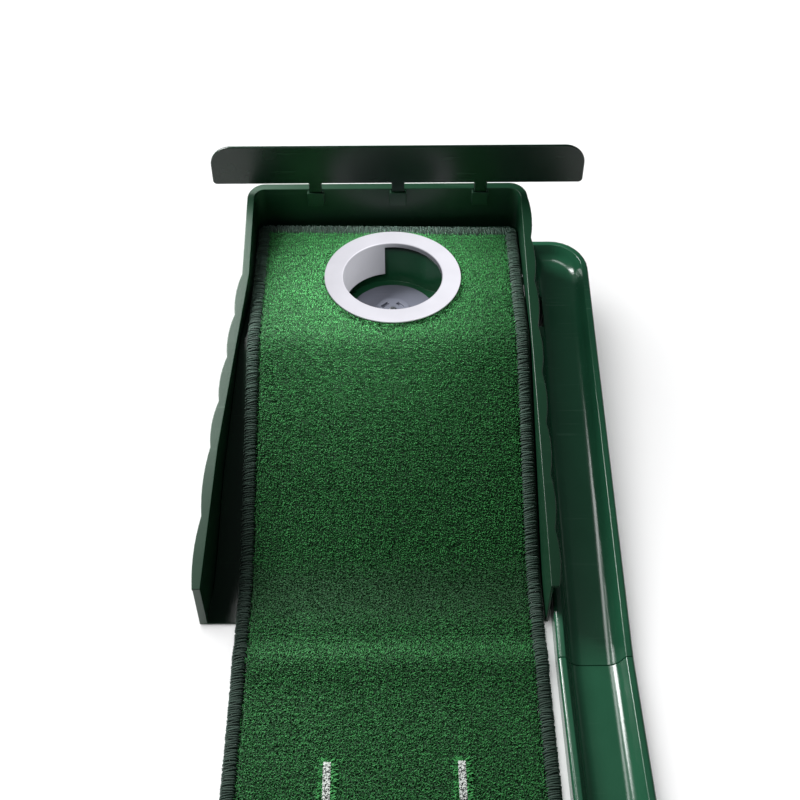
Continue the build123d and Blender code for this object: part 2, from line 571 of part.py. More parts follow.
def make_cup_ring():
    """The white cup ring: a flat flange on the turf, a short lip all round and a long skirt on the far side
    from the gutter, which stops the ball rolling the wrong way."""
    base = MAT_TOP + RING_SEAT_GAP
    top = base + CUP_RING_THICKNESS
    flange = cylinder(0, 0, base, top, CUP_RING_OUTER_RADIUS)
    outer_edge = flange.edges().filter_by(GeomType.CIRCLE).sort_by(Axis.Z)[-1:]
    flange = fillet(outer_edge, CUP_RING_THICKNESS * 0.7)
    ring = flange + cylinder(0, 0, top - CUP_LIP_DEPTH, base, CUP_TUBE_RADIUS)
    skirt = cylinder(0, 0, top - CUP_SKIRT_DEPTH, base, CUP_TUBE_RADIUS)
    sector = Rot(0, 0, CUP_SKIRT_START_ANGLE) * Cylinder(
        2 * CUP_RADIUS, 2 * TALL, arc_size=CUP_SKIRT_SWEEP, align=(Align.NONE, Align.NONE, Align.CENTER))
    ring += skirt & sector
    ring -= cylinder(0, 0, 0, TALL, CUP_RADIUS)
    save("cup_ring", only_solid(ring))


# ---- Backboard ----------------------------------------------------------
def make_backboard():
    """A long board that stands on three tongues, each in a pocket inside the back wall."""
    back_y = TRAY_BACK_Y - TONGUE_CLEARANCE
    bottom = RIM_BACK_HEIGHT + BOARD_LIFT
    half = BOARD_LENGTH / 2
    outline = Polygon((-half, 0), (half, 0), (half, BOARD_HEIGHT), (-half, BOARD_HEIGHT), align=None)
    lower = outline.vertices().sort_by(Axis.Y)[:2]
    outline = fillet(lower, BOARD_BOTTOM_RADIUS)
    upper = outline.vertices().filter_by(lambda v: abs(v.Y - BOARD_HEIGHT) < 1e-6)
    outline = fillet(upper, BOARD_TOP_RADIUS)
    face = Plane(origin=(BOARD_CENTRE_X, back_y, bottom), x_dir=(1, 0, 0), z_dir=(0, -1, 0)) * outline
    board = extrude(face, BOARD_THICKNESS)
    for x in tongue_centres():
        board += tongue_block(x, 0.0, bottom + BOARD_BOTTOM_RADIUS)
    save("backboard", only_solid(board))


# ---- Gutter -------------------------------------------------------------
def gutter_outline(front_y, back_y, round_front, round_back):
    """The gutter's outline from above, with rounded corners at a closed end."""
    outline = Polygon(
        (GUTTER_LEFT_X, front_y), (GUTTER_RIGHT_X, front_y),
        (GUTTER_RIGHT_X, back_y), (GUTTER_LEFT_X, back_y), align=None)
    if round_back:
        corner = outline.vertices().sort_by(Axis.Y)[-2:].sort_by(Axis.X)[-1:]
        outline = fillet(corner, HEAD_CORNER_RADIUS)
    if round_front:
        corners = outline.vertices().sort_by(Axis.Y)[:2]
        outline = fillet(corners, GUTTER_WIDTH / 2 - GUTTER_LIP_WIDTH)
    return outline


def gutter_piece(front_y, back_y, slope, closed_front=False, closed_back=False):
    """A length of gutter whose rim starts at the gutter's height and rises along +Y with a slope."""
    open_reach = 30.0
    outline = gutter_outline(front_y, back_y, closed_front, closed_back)
    rim_at_origin = GUTTER_HEIGHT - slope * front_y
    under_rim = below_plane(rim_at_origin, slope)
    body = extrude(outline, TALL) & under_rim
    rim_edges = body.edges().filter_by(lambda e: abs(
        e.center().Z - (rim_at_origin + slope * e.center().Y)) < 1.0 and abs(e.tangent_at(0.5).Z) < 0.4)
    long_edges = [e for e in rim_edges if e.length > 0.5 * (back_y - front_y)]
    body = fillet(long_edges, LIP_ROUNDING)
    channel_front = front_y + (GUTTER_LIP_WIDTH if closed_front else -open_reach)
    channel_back = back_y - (GUTTER_LIP_WIDTH if closed_back else -open_reach)
    x0 = GUTTER_LEFT_X + GUTTER_LIP_WIDTH
    x1 = GUTTER_RIGHT_X - GUTTER_LIP_WIDTH
    mouth = Polygon(
        (x0, channel_front), (x1, channel_front),
        (x1, channel_back), (x0, channel_back), align=None)
    if closed_back:
        corner = mouth.vertices().sort_by(Axis.Y)[-2:].sort_by(Axis.X)[-1:]
        mouth = fillet(corner, HEAD_CORNER_RADIUS - GUTTER_LIP_WIDTH)
    if closed_front:
        corners = mouth.vertices().sort_by(Axis.Y)[:2]
        mouth = fillet(corners, GUTTER_WIDTH / 2 - 2 * GUTTER_LIP_WIDTH)
    channel = extrude(mouth, -GUTTER_DEPTH, taper=GUTTER_SIDE_DRAFT)
    above = extrude(mouth, GUTTER_HEIGHT)
    angle = math.degrees(math.atan(slope))
    place = Pos(0, 0, rim_at_origin) * Rot(angle, 0, 0)
    body -= place * channel
    body -= place * above
    hollow_outline = offset(outline, -GUTTER_SKIRT, kind=Kind.INTERSECTION)
    hollow = extrude(hollow_outline, TALL)
    hollow &= below_plane(rim_at_origin - GUTTER_DEPTH - GUTTER_FLOOR_THICKNESS, slope)
    return body - hollow


def pin_places(y):
    lip_centre = GUTTER_LIP_WIDTH / 2
    height = GUTTER_HEIGHT - GUTTER_DEPTH / 2
    return [(x, y, height) for x in (GUTTER_LEFT_X + lip_centre, GUTTER_RIGHT_X - lip_centre)]


def pin_bar(place, radius, length):
    x, y, z = place
    return Pos(x, y, z) * Rot(90, 0, 0) * Cylinder(radius, length)


def drill_for_pins(piece, y, clearance):
    for place in pin_places(y):
        piece -= pin_bar(place, PIN_RADIUS + clearance, PIN_LENGTH + 2 * clearance)
    return piece


def save_pins(number, y):
    """The two dowel pins that join the pieces on either side of a joint."""
    pins = [only_solid(pin_bar(place, PIN_RADIUS, PIN_LENGTH)) for place in pin_places(y)]
    save(f"joint_pins_{number}", Compound(children=pins))


def make_gutter_head():
    """The first gutter piece: closed and rounded at its high end, open towards the player."""
    overrun = TALL / 8
    straight = gutter_piece(JOINT_Y - overrun, HEAD_BACK_Y, HEAD_SLOPE, closed_back=True)
    straight = Pos(0, 0, -HEAD_SLOPE * overrun) * straight
    pivot = Pos(GUTTER_CENTRE_X, JOINT_Y, 0)
    head = pivot * Rot(0, 0, HEAD_YAW) * pivot.inverse() * straight
    head &= box(0, 2 * TALL, JOINT_Y, TALL, 0, TALL)
    notch_half = CHUTE_THROAT_HALF_WIDTH + CHUTE_WALL + WINDOW_CLEARANCE
    notch_floor = spout_top(SPOUT_END_X) - CHUTE_FLOOR_THICKNESS - WINDOW_CLEARANCE
    shift = (0 - JOINT_Y) * math.tan(math.radians(-HEAD_YAW))
    notch_end = GUTTER_LEFT_X + shift + GUTTER_LIP_WIDTH + GUTTER_DEPTH / 2
    head -= box(GUTTER_LEFT_X - 1, notch_end, -notch_half, notch_half, notch_floor, TALL)
    tip_x = TRAY_RIGHT_X - HOOK_CLEARANCE
    for y in hook_places():
        skirt_x = GUTTER_LEFT_X + (y - JOINT_Y) * math.tan(math.radians(-HEAD_YAW)) + GUTTER_SKIRT / 2
        half = HOOK_WIDTH / 2
        hook_x = tip_x - HOOK_THICKNESS
        arm = box(hook_x, skirt_x, y - half, y + half, HOOK_HEIGHT, HOOK_HEIGHT + HOOK_THICKNESS)
        tip = box(hook_x, tip_x, y - half, y + half, HOOK_HEIGHT - HOOK_DROP, HOOK_HEIGHT)
        head += arm + tip
    head = drill_for_pins(head, JOINT_Y, PIN_CLEARANCE)
    save("gutter_head", only_solid(head))


def make_gutter_run():
    """Straight sections on the ground, joined end to end by pins in their lips, and a closed ball catcher."""
    back_y = JOINT_Y - JOINT_GAP
    for number in range(1, SECTION_COUNT + 1):
        front_y = back_y - SECTION_LENGTH
        section = gutter_piece(front_y, back_y, 0.0)
        section = drill_for_pins(section, back_y + JOINT_GAP / 2, 0.0)
        section = drill_for_pins(section, front_y - JOINT_GAP / 2, 0.0)
        save(f"gutter_section_{number}", only_solid(section))
        save_pins(number, back_y + JOINT_GAP / 2)
        back_y = front_y - JOINT_GAP
    catcher = gutter_piece(back_y - CATCHER_LENGTH, back_y, 0.0, closed_front=True)
    catcher = drill_for_pins(catcher, back_y + JOINT_GAP / 2, 0.0)
    save("ball_catcher", only_solid(catcher))
    save_pins(SECTION_COUNT + 1, back_y + JOINT_GAP / 2)


def main():
    os.makedirs("parts", exist_ok=True)
    make_mat()
    make_tray()
    make_deck()
    make_deck_screws()
    make_chute()
    make_chute_screws()
    make_cup_floor()
    make_cup_ring()
    make_backboard()
    make_gutter_head()
    make_gutter_run()


main()
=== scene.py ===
import math
import random

import bmesh
import bpy
from mathutils import Matrix, Vector


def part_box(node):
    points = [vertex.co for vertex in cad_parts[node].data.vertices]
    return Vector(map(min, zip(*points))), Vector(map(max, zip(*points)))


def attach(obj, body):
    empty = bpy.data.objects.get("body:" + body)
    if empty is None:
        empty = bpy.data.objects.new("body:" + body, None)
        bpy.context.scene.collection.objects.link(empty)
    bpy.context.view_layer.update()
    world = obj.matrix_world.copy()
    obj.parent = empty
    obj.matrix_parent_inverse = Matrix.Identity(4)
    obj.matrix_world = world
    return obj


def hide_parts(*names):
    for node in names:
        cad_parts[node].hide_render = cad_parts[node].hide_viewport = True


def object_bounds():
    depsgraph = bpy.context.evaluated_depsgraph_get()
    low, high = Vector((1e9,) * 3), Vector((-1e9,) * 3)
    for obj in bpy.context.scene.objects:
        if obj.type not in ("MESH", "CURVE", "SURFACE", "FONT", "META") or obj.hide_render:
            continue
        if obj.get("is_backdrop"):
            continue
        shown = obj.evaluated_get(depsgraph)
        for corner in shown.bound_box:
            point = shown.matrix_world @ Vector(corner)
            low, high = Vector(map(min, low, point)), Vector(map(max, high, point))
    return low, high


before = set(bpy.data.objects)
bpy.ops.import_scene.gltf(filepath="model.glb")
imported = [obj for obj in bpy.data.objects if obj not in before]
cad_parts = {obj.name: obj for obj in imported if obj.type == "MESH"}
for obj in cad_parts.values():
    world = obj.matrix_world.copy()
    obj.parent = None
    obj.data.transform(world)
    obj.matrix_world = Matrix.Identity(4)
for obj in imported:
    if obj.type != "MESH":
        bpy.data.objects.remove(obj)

cad_low, cad_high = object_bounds()

# ---- Camera -------------------------------------------------------------
# Stands over the player's end of the mat and looks down the ramp at the cup.
ring_low, ring_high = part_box("cup_ring")
cup_centre = (ring_low + ring_high) / 2
camera = bpy.data.objects.new("camera", bpy.data.cameras.new("camera"))
bpy.context.scene.collection.objects.link(camera)
camera.location = (cup_centre.x - 0.0025, cup_centre.y - 1.0165, cad_low.z + 1.014)
camera.rotation_euler = (math.radians(90 - 47.2), 0, math.radians(-0.61))
camera.data.lens = 54
camera.data.sensor_width = 36
camera.data.clip_start = 0.02
bpy.context.scene.camera = camera
bpy.context.scene.view_settings.view_transform = "Standard"


# ---- Studio -------------------------------------------------------------
# A white sweep on the ground with two broad lamps of its own. A big soft box stands behind the object on its left
# and lights it at half height, with a weak one before it on the same side and a third over the mat's player end.
# The room itself is dim.
def diffuse_material(name, colour):
    material = bpy.data.materials.new(name)
    material.use_nodes = True
    shader = material.node_tree.nodes["Principled BSDF"]
    shader.inputs["Base Color"].default_value = (*colour, 1)
    shader.inputs["Roughness"].default_value = 0.9
    shader.inputs["Specular IOR Level"].default_value = 0.0
    return material


floor_mesh = bpy.data.meshes.new("floor")
half = 15.0
floor_mesh.from_pydata([(-half, -half, 0), (half, -half, 0), (half, half, 0), (-half, half, 0)], [], [(0, 1, 2, 3)])
floor = bpy.data.objects.new("floor", floor_mesh)
floor.location.z = cad_low.z - 0.0003
floor_mesh.materials.append(diffuse_material("paper_sweep", (0.86, 0.86, 0.86)))
bpy.context.scene.collection.objects.link(floor)
floor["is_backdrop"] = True


def lamp(name, kind, energy, place, aim, size=None, receiver=None, **settings):
    data = bpy.data.lights.new(name, kind)
    data.energy = energy
    for setting, value in settings.items():
        setattr(data, setting, value)
    if size:
        data.shape = "RECTANGLE"
        data.size, data.size_y = size
    light = bpy.data.objects.new(name, data)
    light.location = place
    light.rotation_euler = (Vector(aim) - Vector(place)).to_track_quat("-Z", "Y").to_euler()
    light.visible_camera = False
    bpy.context.scene.collection.objects.link(light)
    if receiver:
        light.light_linking.receiver_collection = receiver
    return light


only_floor = bpy.data.collections.new("only_floor")
only_floor.objects.link(floor)
all_but_floor = bpy.data.collections.new("all_but_floor")
all_but_floor.objects.link(floor)
all_but_floor.collection_objects[0].light_linking.link_state = "EXCLUDE"

lit_by_key = bpy.data.collections.new("lit_by_key")
lit_by_key.objects.link(floor)
lit_by_key.collection_objects[0].light_linking.link_state = "EXCLUDE"

lamp("floor_lamp", "SUN", 4.4, (-1.1, 0.45, 1.2), (0, 0, 0), receiver=only_floor, angle=math.radians(110))
lamp("floor_fill", "SUN", 0.9, (0, 0, 1), (0, 0, 0), receiver=only_floor, angle=math.radians(150))
lamp("key_box", "AREA", 24.0, (-0.60, 0.30, 0.72), (0, -0.10, 0.10), size=(0.5, 0.5), receiver=lit_by_key)
lamp("fill_box", "AREA", 1.0, (-0.85, -0.45, 0.85), (0.1, -0.05, 0.1), size=(0.5, 0.5), receiver=all_but_floor)

lamp("mat_box", "AREA", 11.0, (-0.30, -2.10, 1.0), (0, -2.10, 0), size=(0.6, 1.6), receiver=all_but_floor,
     spread=math.radians(60))

world = bpy.data.worlds.new("room")
bpy.context.scene.world = world
world.use_nodes = True
nodes, links = world.node_tree.nodes, world.node_tree.links
seen = nodes.new("ShaderNodeLightPath")
sky = nodes["Background"]
mix = nodes.new("ShaderNodeMix")
mix.data_type = "RGBA"
mix.inputs["A"].default_value = (0.08, 0.08, 0.085, 1)
mix.inputs["B"].default_value = (1, 1, 1, 1)
links.new(seen.outputs["Is Camera Ray"], mix.inputs["Factor"])
links.new(mix.outputs["Result"], sky.inputs["Color"])
sky.inputs["Strength"].default_value = 1.0

# ---- Tray ---------------------------------------------------------------
# One injection moulding in glossy green polypropylene: floor, two sloping side walls and a back wall, with a
# scalloped flange round the rim, pockets for the backboard's tongues and posts for the deck's screws.
def moulding(node, name, rounding, body, material):
    """A node's shape with its triangles joined into faces and its sharp edges rounded, as a mould leaves them."""
    shape = bmesh.new()
    shape.from_mesh(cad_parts[node].data)
    bmesh.ops.remove_doubles(shape, verts=shape.verts, dist=1e-5)
    bmesh.ops.dissolve_limit(shape, angle_limit=math.radians(1), verts=shape.verts, edges=shape.edges)
    return finished(shape, name, rounding, node, body, material)


def finished(shape, name, rounding, node, body, material):
    """A shape made into a piece, with its sharp edges rounded, its finish and its place on a body."""
    mesh = bpy.data.meshes.new(name)
    shape.to_mesh(mesh)
    shape.free()
    mesh.shade_smooth()
    piece = bpy.data.objects.new(name, mesh)
    bpy.context.scene.collection.objects.link(piece)
    edge = piece.modifiers.new("rounded_edges", "BEVEL")
    edge.width = rounding
    edge.segments = 3
    edge.limit_method = "ANGLE"
    edge.angle_limit = math.radians(38)
    edge.use_clamp_overlap = False
    piece.modifiers.new("flat_faces", "WEIGHTED_NORMAL").keep_sharp = True
    settle(piece)
    piece.data.materials.clear()
    piece.data.materials.append(material)
    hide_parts(node)
    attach(piece, body)
    return piece


def settle(piece):
    """Works a piece's modifiers into its mesh."""
    graph = bpy.context.evaluated_depsgraph_get()
    mesh = bpy.data.meshes.new_from_object(piece.evaluated_get(graph))
    piece.modifiers.clear()
    piece.data = mesh


def add(tree, kind, inputs=None, **settings):
    """A node with its settings, and its inputs either linked or set."""
    node = tree.nodes.new(kind)
    for setting, value in settings.items():
        setattr(node, setting, value)
    for socket, value in (inputs or {}).items():
        if isinstance(value, bpy.types.NodeSocket):
            tree.links.new(value, node.inputs[socket])
        else:
            node.inputs[socket].default_value = value
    return node


def effect(name, inputs, outputs):
    """An empty shader node group with its named sockets, and its two end nodes."""
    group = bpy.data.node_groups.new(name, "ShaderNodeTree")
    for socket, kind, value in inputs:
        made = group.interface.new_socket(socket, in_out="INPUT", socket_type="NodeSocket" + kind)
        if value is not None:
            made.default_value = value
    for socket, kind in outputs:
        group.interface.new_socket(socket, in_out="OUTPUT", socket_type="NodeSocket" + kind)
    return group, group.nodes.new("NodeGroupInput").outputs, group.nodes.new("NodeGroupOutput").inputs


# Moulded plastic: cloudy colour, fine orange peel, and hairline scuffs that are paler and duller.
moulded_skin, given, out = effect(
    "moulded_skin",
    [("Vector", "Vector", None), ("Colour", "Color", (0.01, 0.04, 0.02, 1)), ("Scuff Colour", "Color", (0.1, 0.2, 0.13, 1)),
     ("Scuffs", "Float", 0.5), ("Gloss Roughness", "Float", 0.2), ("Peel Scale", "Float", 420.0)],
    [("Colour", "Color"), ("Roughness", "Float"), ("Height", "Float")])
clouds = add(moulded_skin, "ShaderNodeTexNoise", {"Vector": given["Vector"], "Scale": 16.0, "Detail": 4.0})
peel = add(moulded_skin, "ShaderNodeTexNoise", {"Vector": given["Vector"], "Scale": given["Peel Scale"], "Detail": 1.0})
drawn_out = add(moulded_skin, "ShaderNodeMapping", {"Vector": given["Vector"], "Rotation": (0.2, 0.1, 0.5), "Scale": (12, 260, 200)})
hairs = add(moulded_skin, "ShaderNodeTexNoise", {"Vector": drawn_out.outputs["Vector"], "Scale": 1.0, "Detail": 3.0})
worn_places = add(moulded_skin, "ShaderNodeTexNoise", {"Vector": given["Vector"], "Scale": 9.0, "Detail": 2.0})
thin = add(moulded_skin, "ShaderNodeMapRange", {"Value": hairs.outputs["Fac"], "From Min": 0.62, "From Max": 0.72})
where = add(moulded_skin, "ShaderNodeMapRange", {"Value": worn_places.outputs["Fac"], "From Min": 0.45, "From Max": 0.7})
scuffs = add(moulded_skin, "ShaderNodeMath", {0: thin.outputs["Result"], 1: where.outputs["Result"]}, operation="MULTIPLY")
scuffs = add(moulded_skin, "ShaderNodeMath", {0: scuffs.outputs[0], 1: given["Scuffs"]}, operation="MULTIPLY")
cloudy = add(moulded_skin, "ShaderNodeMapRange", {"Value": clouds.outputs["Fac"], "To Min": 0.8, "To Max": 1.2})
shaded = add(moulded_skin, "ShaderNodeVectorMath", {0: given["Colour"], "Scale": cloudy.outputs["Result"]}, operation="SCALE")
scuffed = add(moulded_skin, "ShaderNodeMix", {"Factor": scuffs.outputs[0], "A": shaded.outputs[0], "B": given["Scuff Colour"]}, data_type="RGBA")
dull = add(moulded_skin, "ShaderNodeMath", {0: scuffs.outputs[0], 1: 0.3, 2: given["Gloss Roughness"]}, operation="MULTIPLY_ADD")
uneven = add(moulded_skin, "ShaderNodeMath", {0: clouds.outputs["Fac"], 1: 0.08, 2: dull.outputs[0]}, operation="MULTIPLY_ADD")
moulded_skin.links.new(scuffed.outputs["Result"], out["Colour"])
moulded_skin.links.new(uneven.outputs[0], out["Roughness"])
moulded_skin.links.new(peel.outputs["Fac"], out["Height"])


def finish_of(name):
    """A new material, its node tree and its shader."""
    material = bpy.data.materials.new(name)
    material.use_nodes = True
    return material, material.node_tree, material.node_tree.nodes["Principled BSDF"]


def moulded_plastic(name, colour, scuff_colour, roughness, scuffs, peel_depth):
    material, tree, shader = finish_of(name)
    place = add(tree, "ShaderNodeTexCoord").outputs["Object"]
    skin = add(tree, "ShaderNodeGroup", node_tree=moulded_skin)
    tree.links.new(place, skin.inputs["Vector"])
    skin.inputs["Colour"].default_value = (*colour, 1)
    skin.inputs["Scuff Colour"].default_value = (*scuff_colour, 1)
    skin.inputs["Gloss Roughness"].default_value = roughness
    skin.inputs["Scuffs"].default_value = scuffs
    bump = add(tree, "ShaderNodeBump", {"Strength": 0.5, "Distance": peel_depth, "Height": skin.outputs["Height"]})
    tree.links.new(skin.outputs["Colour"], shader.inputs["Base Color"])
    tree.links.new(skin.outputs["Roughness"], shader.inputs["Roughness"])
    tree.links.new(bump.outputs["Normal"], shader.inputs["Normal"])
    return material


green_plastic = moulded_plastic("green_polypropylene", (0.004, 0.036, 0.015), (0.05, 0.12, 0.07), 0.33, 0.35, 0.0001)
moulding("tray_shell", "tray", 0.0007, "root", green_plastic)

# ---- Feet ---------------------------------------------------------------
# Five black rubber pads, stuck under the tray's floor so that it doesn't slide on a smooth floor.
foot_rubber, tree, shader = finish_of("foot_rubber")
place = add(tree, "ShaderNodeTexCoord").outputs["Object"]
crumbs = add(tree, "ShaderNodeTexVoronoi", {"Vector": place, "Scale": 900.0})
grey = add(tree, "ShaderNodeMapRange", {"Value": crumbs.outputs["Distance"], "To Min": 0.012, "To Max": 0.03})
bump = add(tree, "ShaderNodeBump", {"Strength": 0.6, "Distance": 0.0002, "Height": crumbs.outputs["Distance"]})
tree.links.new(grey.outputs["Result"], shader.inputs["Base Color"])
tree.links.new(bump.outputs["Normal"], shader.inputs["Normal"])
shader.inputs["Roughness"].default_value = 0.85
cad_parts["rubber_feet"].data.materials.clear()
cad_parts["rubber_feet"].data.materials.append(foot_rubber)

# ---- Deck ---------------------------------------------------------------
# The ramp and plateau insert, one bent moulding in the tray's plastic, screwed down on four posts under the mat.
moulding("ramp_deck", "deck", 0.0005, "root", green_plastic)

# ---- Return chute -------------------------------------------------------
# A round well under the cup with a throat to the gutter, moulded in a lighter green and screwed to the tray's
# floor.
chute_plastic = moulded_plastic("green_chute_plastic", (0.012, 0.085, 0.036), (0.06, 0.15, 0.09), 0.25, 0.3, 0.0001)
moulding("return_chute", "chute", 0.0005, "root", chute_plastic)

# ---- Screws -------------------------------------------------------------
# Zinc-plated pan head screws with a cross recess and a coarse thread for plastic: four hold the deck to its posts,
# three the chute to the tray's floor, and a longer one the cup's floor to the chute.
def growing(name, inputs):
    """An empty geometry node tree with its named inputs, and its two end nodes."""
    tree = bpy.data.node_groups.new(name, "GeometryNodeTree")
    tree.interface.new_socket("Geometry", in_out="INPUT", socket_type="NodeSocketGeometry")
    for socket, kind, value in inputs:
        made = tree.interface.new_socket(socket, in_out="INPUT", socket_type="NodeSocket" + kind)
        if value is not None:
            made.default_value = value
    tree.interface.new_socket("Geometry", in_out="OUTPUT", socket_type="NodeSocketGeometry")
    return tree, tree.nodes.new("NodeGroupInput").outputs, tree.nodes.new("NodeGroupOutput").inputs


def grow(piece, tree, **values):
    """Runs a geometry node tree on a piece with these input values and works it into the mesh."""
    modifier = piece.modifiers.new(tree.name, "NODES")
    modifier.node_group = tree
    for socket in tree.interface.items_tree:
        if socket.name in values:
            modifier[socket.identifier] = values[socket.name]
    settle(piece)


def block(shape, low, high):
    """A box added to a shape."""
    for corner in bmesh.ops.create_cube(shape, size=1.0)["verts"]:
        corner.co = Vector([low[i] if corner.co[i] < 0 else high[i] for i in range(3)])


def cut(shape, cutter):
    """A shape with another shape's space taken out of it."""
    pieces = []
    for part in (shape, cutter):
        mesh = bpy.data.meshes.new("blank")
        part.to_mesh(mesh)
        part.free()
        pieces.append(bpy.data.objects.new("blank", mesh))
        bpy.context.scene.collection.objects.link(pieces[-1])
    carve = pieces[0].modifiers.new("carve", "BOOLEAN")
    carve.object = pieces[1]
    carve.solver = "EXACT"
    settle(pieces[0])
    carved = bmesh.new()
    carved.from_mesh(pieces[0].data)
    for piece in pieces:
        bpy.data.objects.remove(piece)
    return carved


def screw_shape(length):
    """A pan head screw with its head's top at the origin, pointing down."""
    head_radius, head_height = 0.0042, 0.0020
    core, crest, pitch, round_count = 0.0013, 0.0018, 0.0014, 16
    shape = bmesh.new()
    dome = [(0.62, 0.0), (0.84, -0.06), (0.96, -0.2), (1.0, -0.42), (1.0, -0.9), (0.96, -1.0), (0.3, -1.0)]
    rows = []
    for radius, down in dome:
        row = []
        for i in range(32):
            a = math.tau * i / 32
            row.append(shape.verts.new((
                head_radius * radius * math.cos(a), head_radius * radius * math.sin(a), head_height * down)))
        rows.append(row)
    for upper, lower in zip(rows, rows[1:]):
        for i in range(32):
            j = (i + 1) % 32
            shape.faces.new((upper[i], lower[i], lower[j], upper[j]))
    shape.faces.new(rows[0])
    shape.faces.new(rows[-1][::-1])
    recess = bmesh.new()
    arm, half_arm, recess_depth = 0.0021, 0.00042, 0.0012
    block(recess, (-arm, -half_arm, -recess_depth), (arm, half_arm, 0.001))
    cross = bmesh.new()
    block(cross, (-half_arm, -arm, -recess_depth), (half_arm, arm, 0.001))
    shape = cut(cut(shape, recess), cross)
    turns = int((length - head_height) / pitch * round_count)
    helix = []
    for i in range(turns + 1):
        a = math.tau * i / round_count
        z = -head_height * 0.9 - pitch * i / round_count
        taper = min(1.0, 0.15 + (turns - i) / (1.6 * round_count))
        way = Vector((math.cos(a), math.sin(a), 0))
        root = shape.verts.new(way * core * taper + Vector((0, 0, z)))
        tip = shape.verts.new(way * crest * taper + Vector((0, 0, z - pitch / 2)))
        helix.append((root, tip))
    for i in range(turns):
        (root, tip), (next_root, next_tip) = helix[i], helix[i + 1]
        shape.faces.new((root, tip, next_tip, next_root))
        if i + round_count < turns:
            shape.faces.new((tip, helix[i + round_count][0], helix[i + round_count + 1][0], next_tip))
    bmesh.ops.holes_fill(shape, edges=[e for e in shape.edges if e.is_boundary], sides=0)
    bmesh.ops.recalc_face_normals(shape, faces=shape.faces)
    return shape


def screw_tops(node):
    """The top of each screw's head in a node, and the screws' length."""
    shape = bmesh.new()
    shape.from_mesh(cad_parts[node].data)
    bmesh.ops.remove_doubles(shape, verts=shape.verts, dist=1e-5)
    left = set(shape.verts)
    tops = []
    length = 0.0
    while left:
        found = [left.pop()]
        for vert in found:
            for edge in vert.link_edges:
                other = edge.other_vert(vert)
                if other in left:
                    left.remove(other)
                    found.append(other)
        low = Vector([min(v.co[i] for v in found) for i in range(3)])
        high = Vector([max(v.co[i] for v in found) for i in range(3)])
        tops.append(((low.x + high.x) / 2, (low.y + high.y) / 2, high.z))
        length = high.z - low.z
    shape.free()
    return sorted(tops), length


screw_tree, given, out = growing("driven_screws", [
    ("Screw", "Object", None), ("Seed", "Int", 4), ("Material", "Material", None)])
points = add(screw_tree, "GeometryNodeMeshToPoints", {"Mesh": given["Geometry"]})
one_screw = add(screw_tree, "GeometryNodeObjectInfo", {"Object": given["Screw"]})
driven = add(screw_tree, "FunctionNodeRandomValue", {
    0: (0.0, 0.0, 0.0), 1: (0.0, 0.0, 6.283), "Seed": given["Seed"]}, data_type="FLOAT_VECTOR")
screws = add(screw_tree, "GeometryNodeInstanceOnPoints", {
    "Points": points.outputs[0], "Instance": one_screw.outputs["Geometry"], "Rotation": driven.outputs[0]})
real = add(screw_tree, "GeometryNodeRealizeInstances", {"Geometry": screws.outputs[0]})
coated = add(screw_tree, "GeometryNodeSetMaterial", {"Geometry": real.outputs[0], "Material": given["Material"]})
screw_tree.links.new(coated.outputs[0], out["Geometry"])

zinc, tree, shader = finish_of("zinc_plate")
place = add(tree, "ShaderNodeTexCoord").outputs["Object"]
spangle = add(tree, "ShaderNodeTexVoronoi", {"Vector": place, "Scale": 1200.0})
tint = add(tree, "ShaderNodeMix", {
    "Factor": spangle.outputs["Distance"], "A": (0.62, 0.64, 0.68, 1), "B": (0.42, 0.43, 0.45, 1)}, data_type="RGBA")
rub = add(tree, "ShaderNodeTexNoise", {"Vector": place, "Scale": 900.0, "Detail": 3.0})
rough = add(tree, "ShaderNodeMapRange", {"Value": rub.outputs["Fac"], "To Min": 0.22, "To Max": 0.5})
bump = add(tree, "ShaderNodeBump", {"Strength": 0.3, "Distance": 0.00005, "Height": rub.outputs["Fac"]})
tree.links.new(tint.outputs["Result"], shader.inputs["Base Color"])
tree.links.new(rough.outputs["Result"], shader.inputs["Roughness"])
tree.links.new(bump.outputs["Normal"], shader.inputs["Normal"])
shader.inputs["Metallic"].default_value = 1.0

for node in ("deck_screws", "chute_screws", "cup_floor_screw"):
    tops, length = screw_tops(node)
    screw_mesh = bpy.data.meshes.new("screw")
    shape = screw_shape(length)
    shape.to_mesh(screw_mesh)
    shape.free()
    mesh = bpy.data.meshes.new(node)
    mesh.from_pydata(tops, [], [])
    piece = bpy.data.objects.new(node + "_driven", mesh)
    bpy.context.scene.collection.objects.link(piece)
    grow(piece, screw_tree, Screw=bpy.data.objects.new("screw", screw_mesh), Material=zinc)
    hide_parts(node)
    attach(piece, "root")

# ---- Cup floor and cup ring ---------------------------------------------
# Two white mouldings: the ribbed disc that the ball drops on, and the flanged ring that presses into the deck's
# hole through the mat. Both have a satin surface.
white_plastic = moulded_plastic("white_polypropylene", (0.56, 0.555, 0.60), (0.6, 0.6, 0.62), 0.38, 0.25, 0.00008)
# Painted shade: the disc's white plastic is given a darker grey, for the shade at the bottom of the well.
shaded_disc_plastic = moulded_plastic("white_disc_painted_shade", (0.19, 0.20, 0.25), (0.45, 0.45, 0.5), 0.35, 0.4, 0.00008)
moulding("cup_floor", "cup_disc", 0.0004, "root", shaded_disc_plastic)
inside_cup = bpy.data.collections.new("inside_cup")
for name in ("chute", "cup_disc"):
    inside_cup.objects.link(bpy.data.objects[name])
lamp("cup_lamp", "AREA", 1.3, (-0.14, -0.30, 0.62), (0.02, 0.01, 0.08), size=(0.2, 0.2), receiver=inside_cup)

ring_radius = (ring_high.x - ring_low.x) / 2
mouth_radius = ring_radius - 0.021
tube_wall = 0.002
flange_thickness = 0.0022
lip_bottom, skirt_bottom = ring_high.z - 0.007, ring_low.z
skirt_from, skirt_to = 99, 269


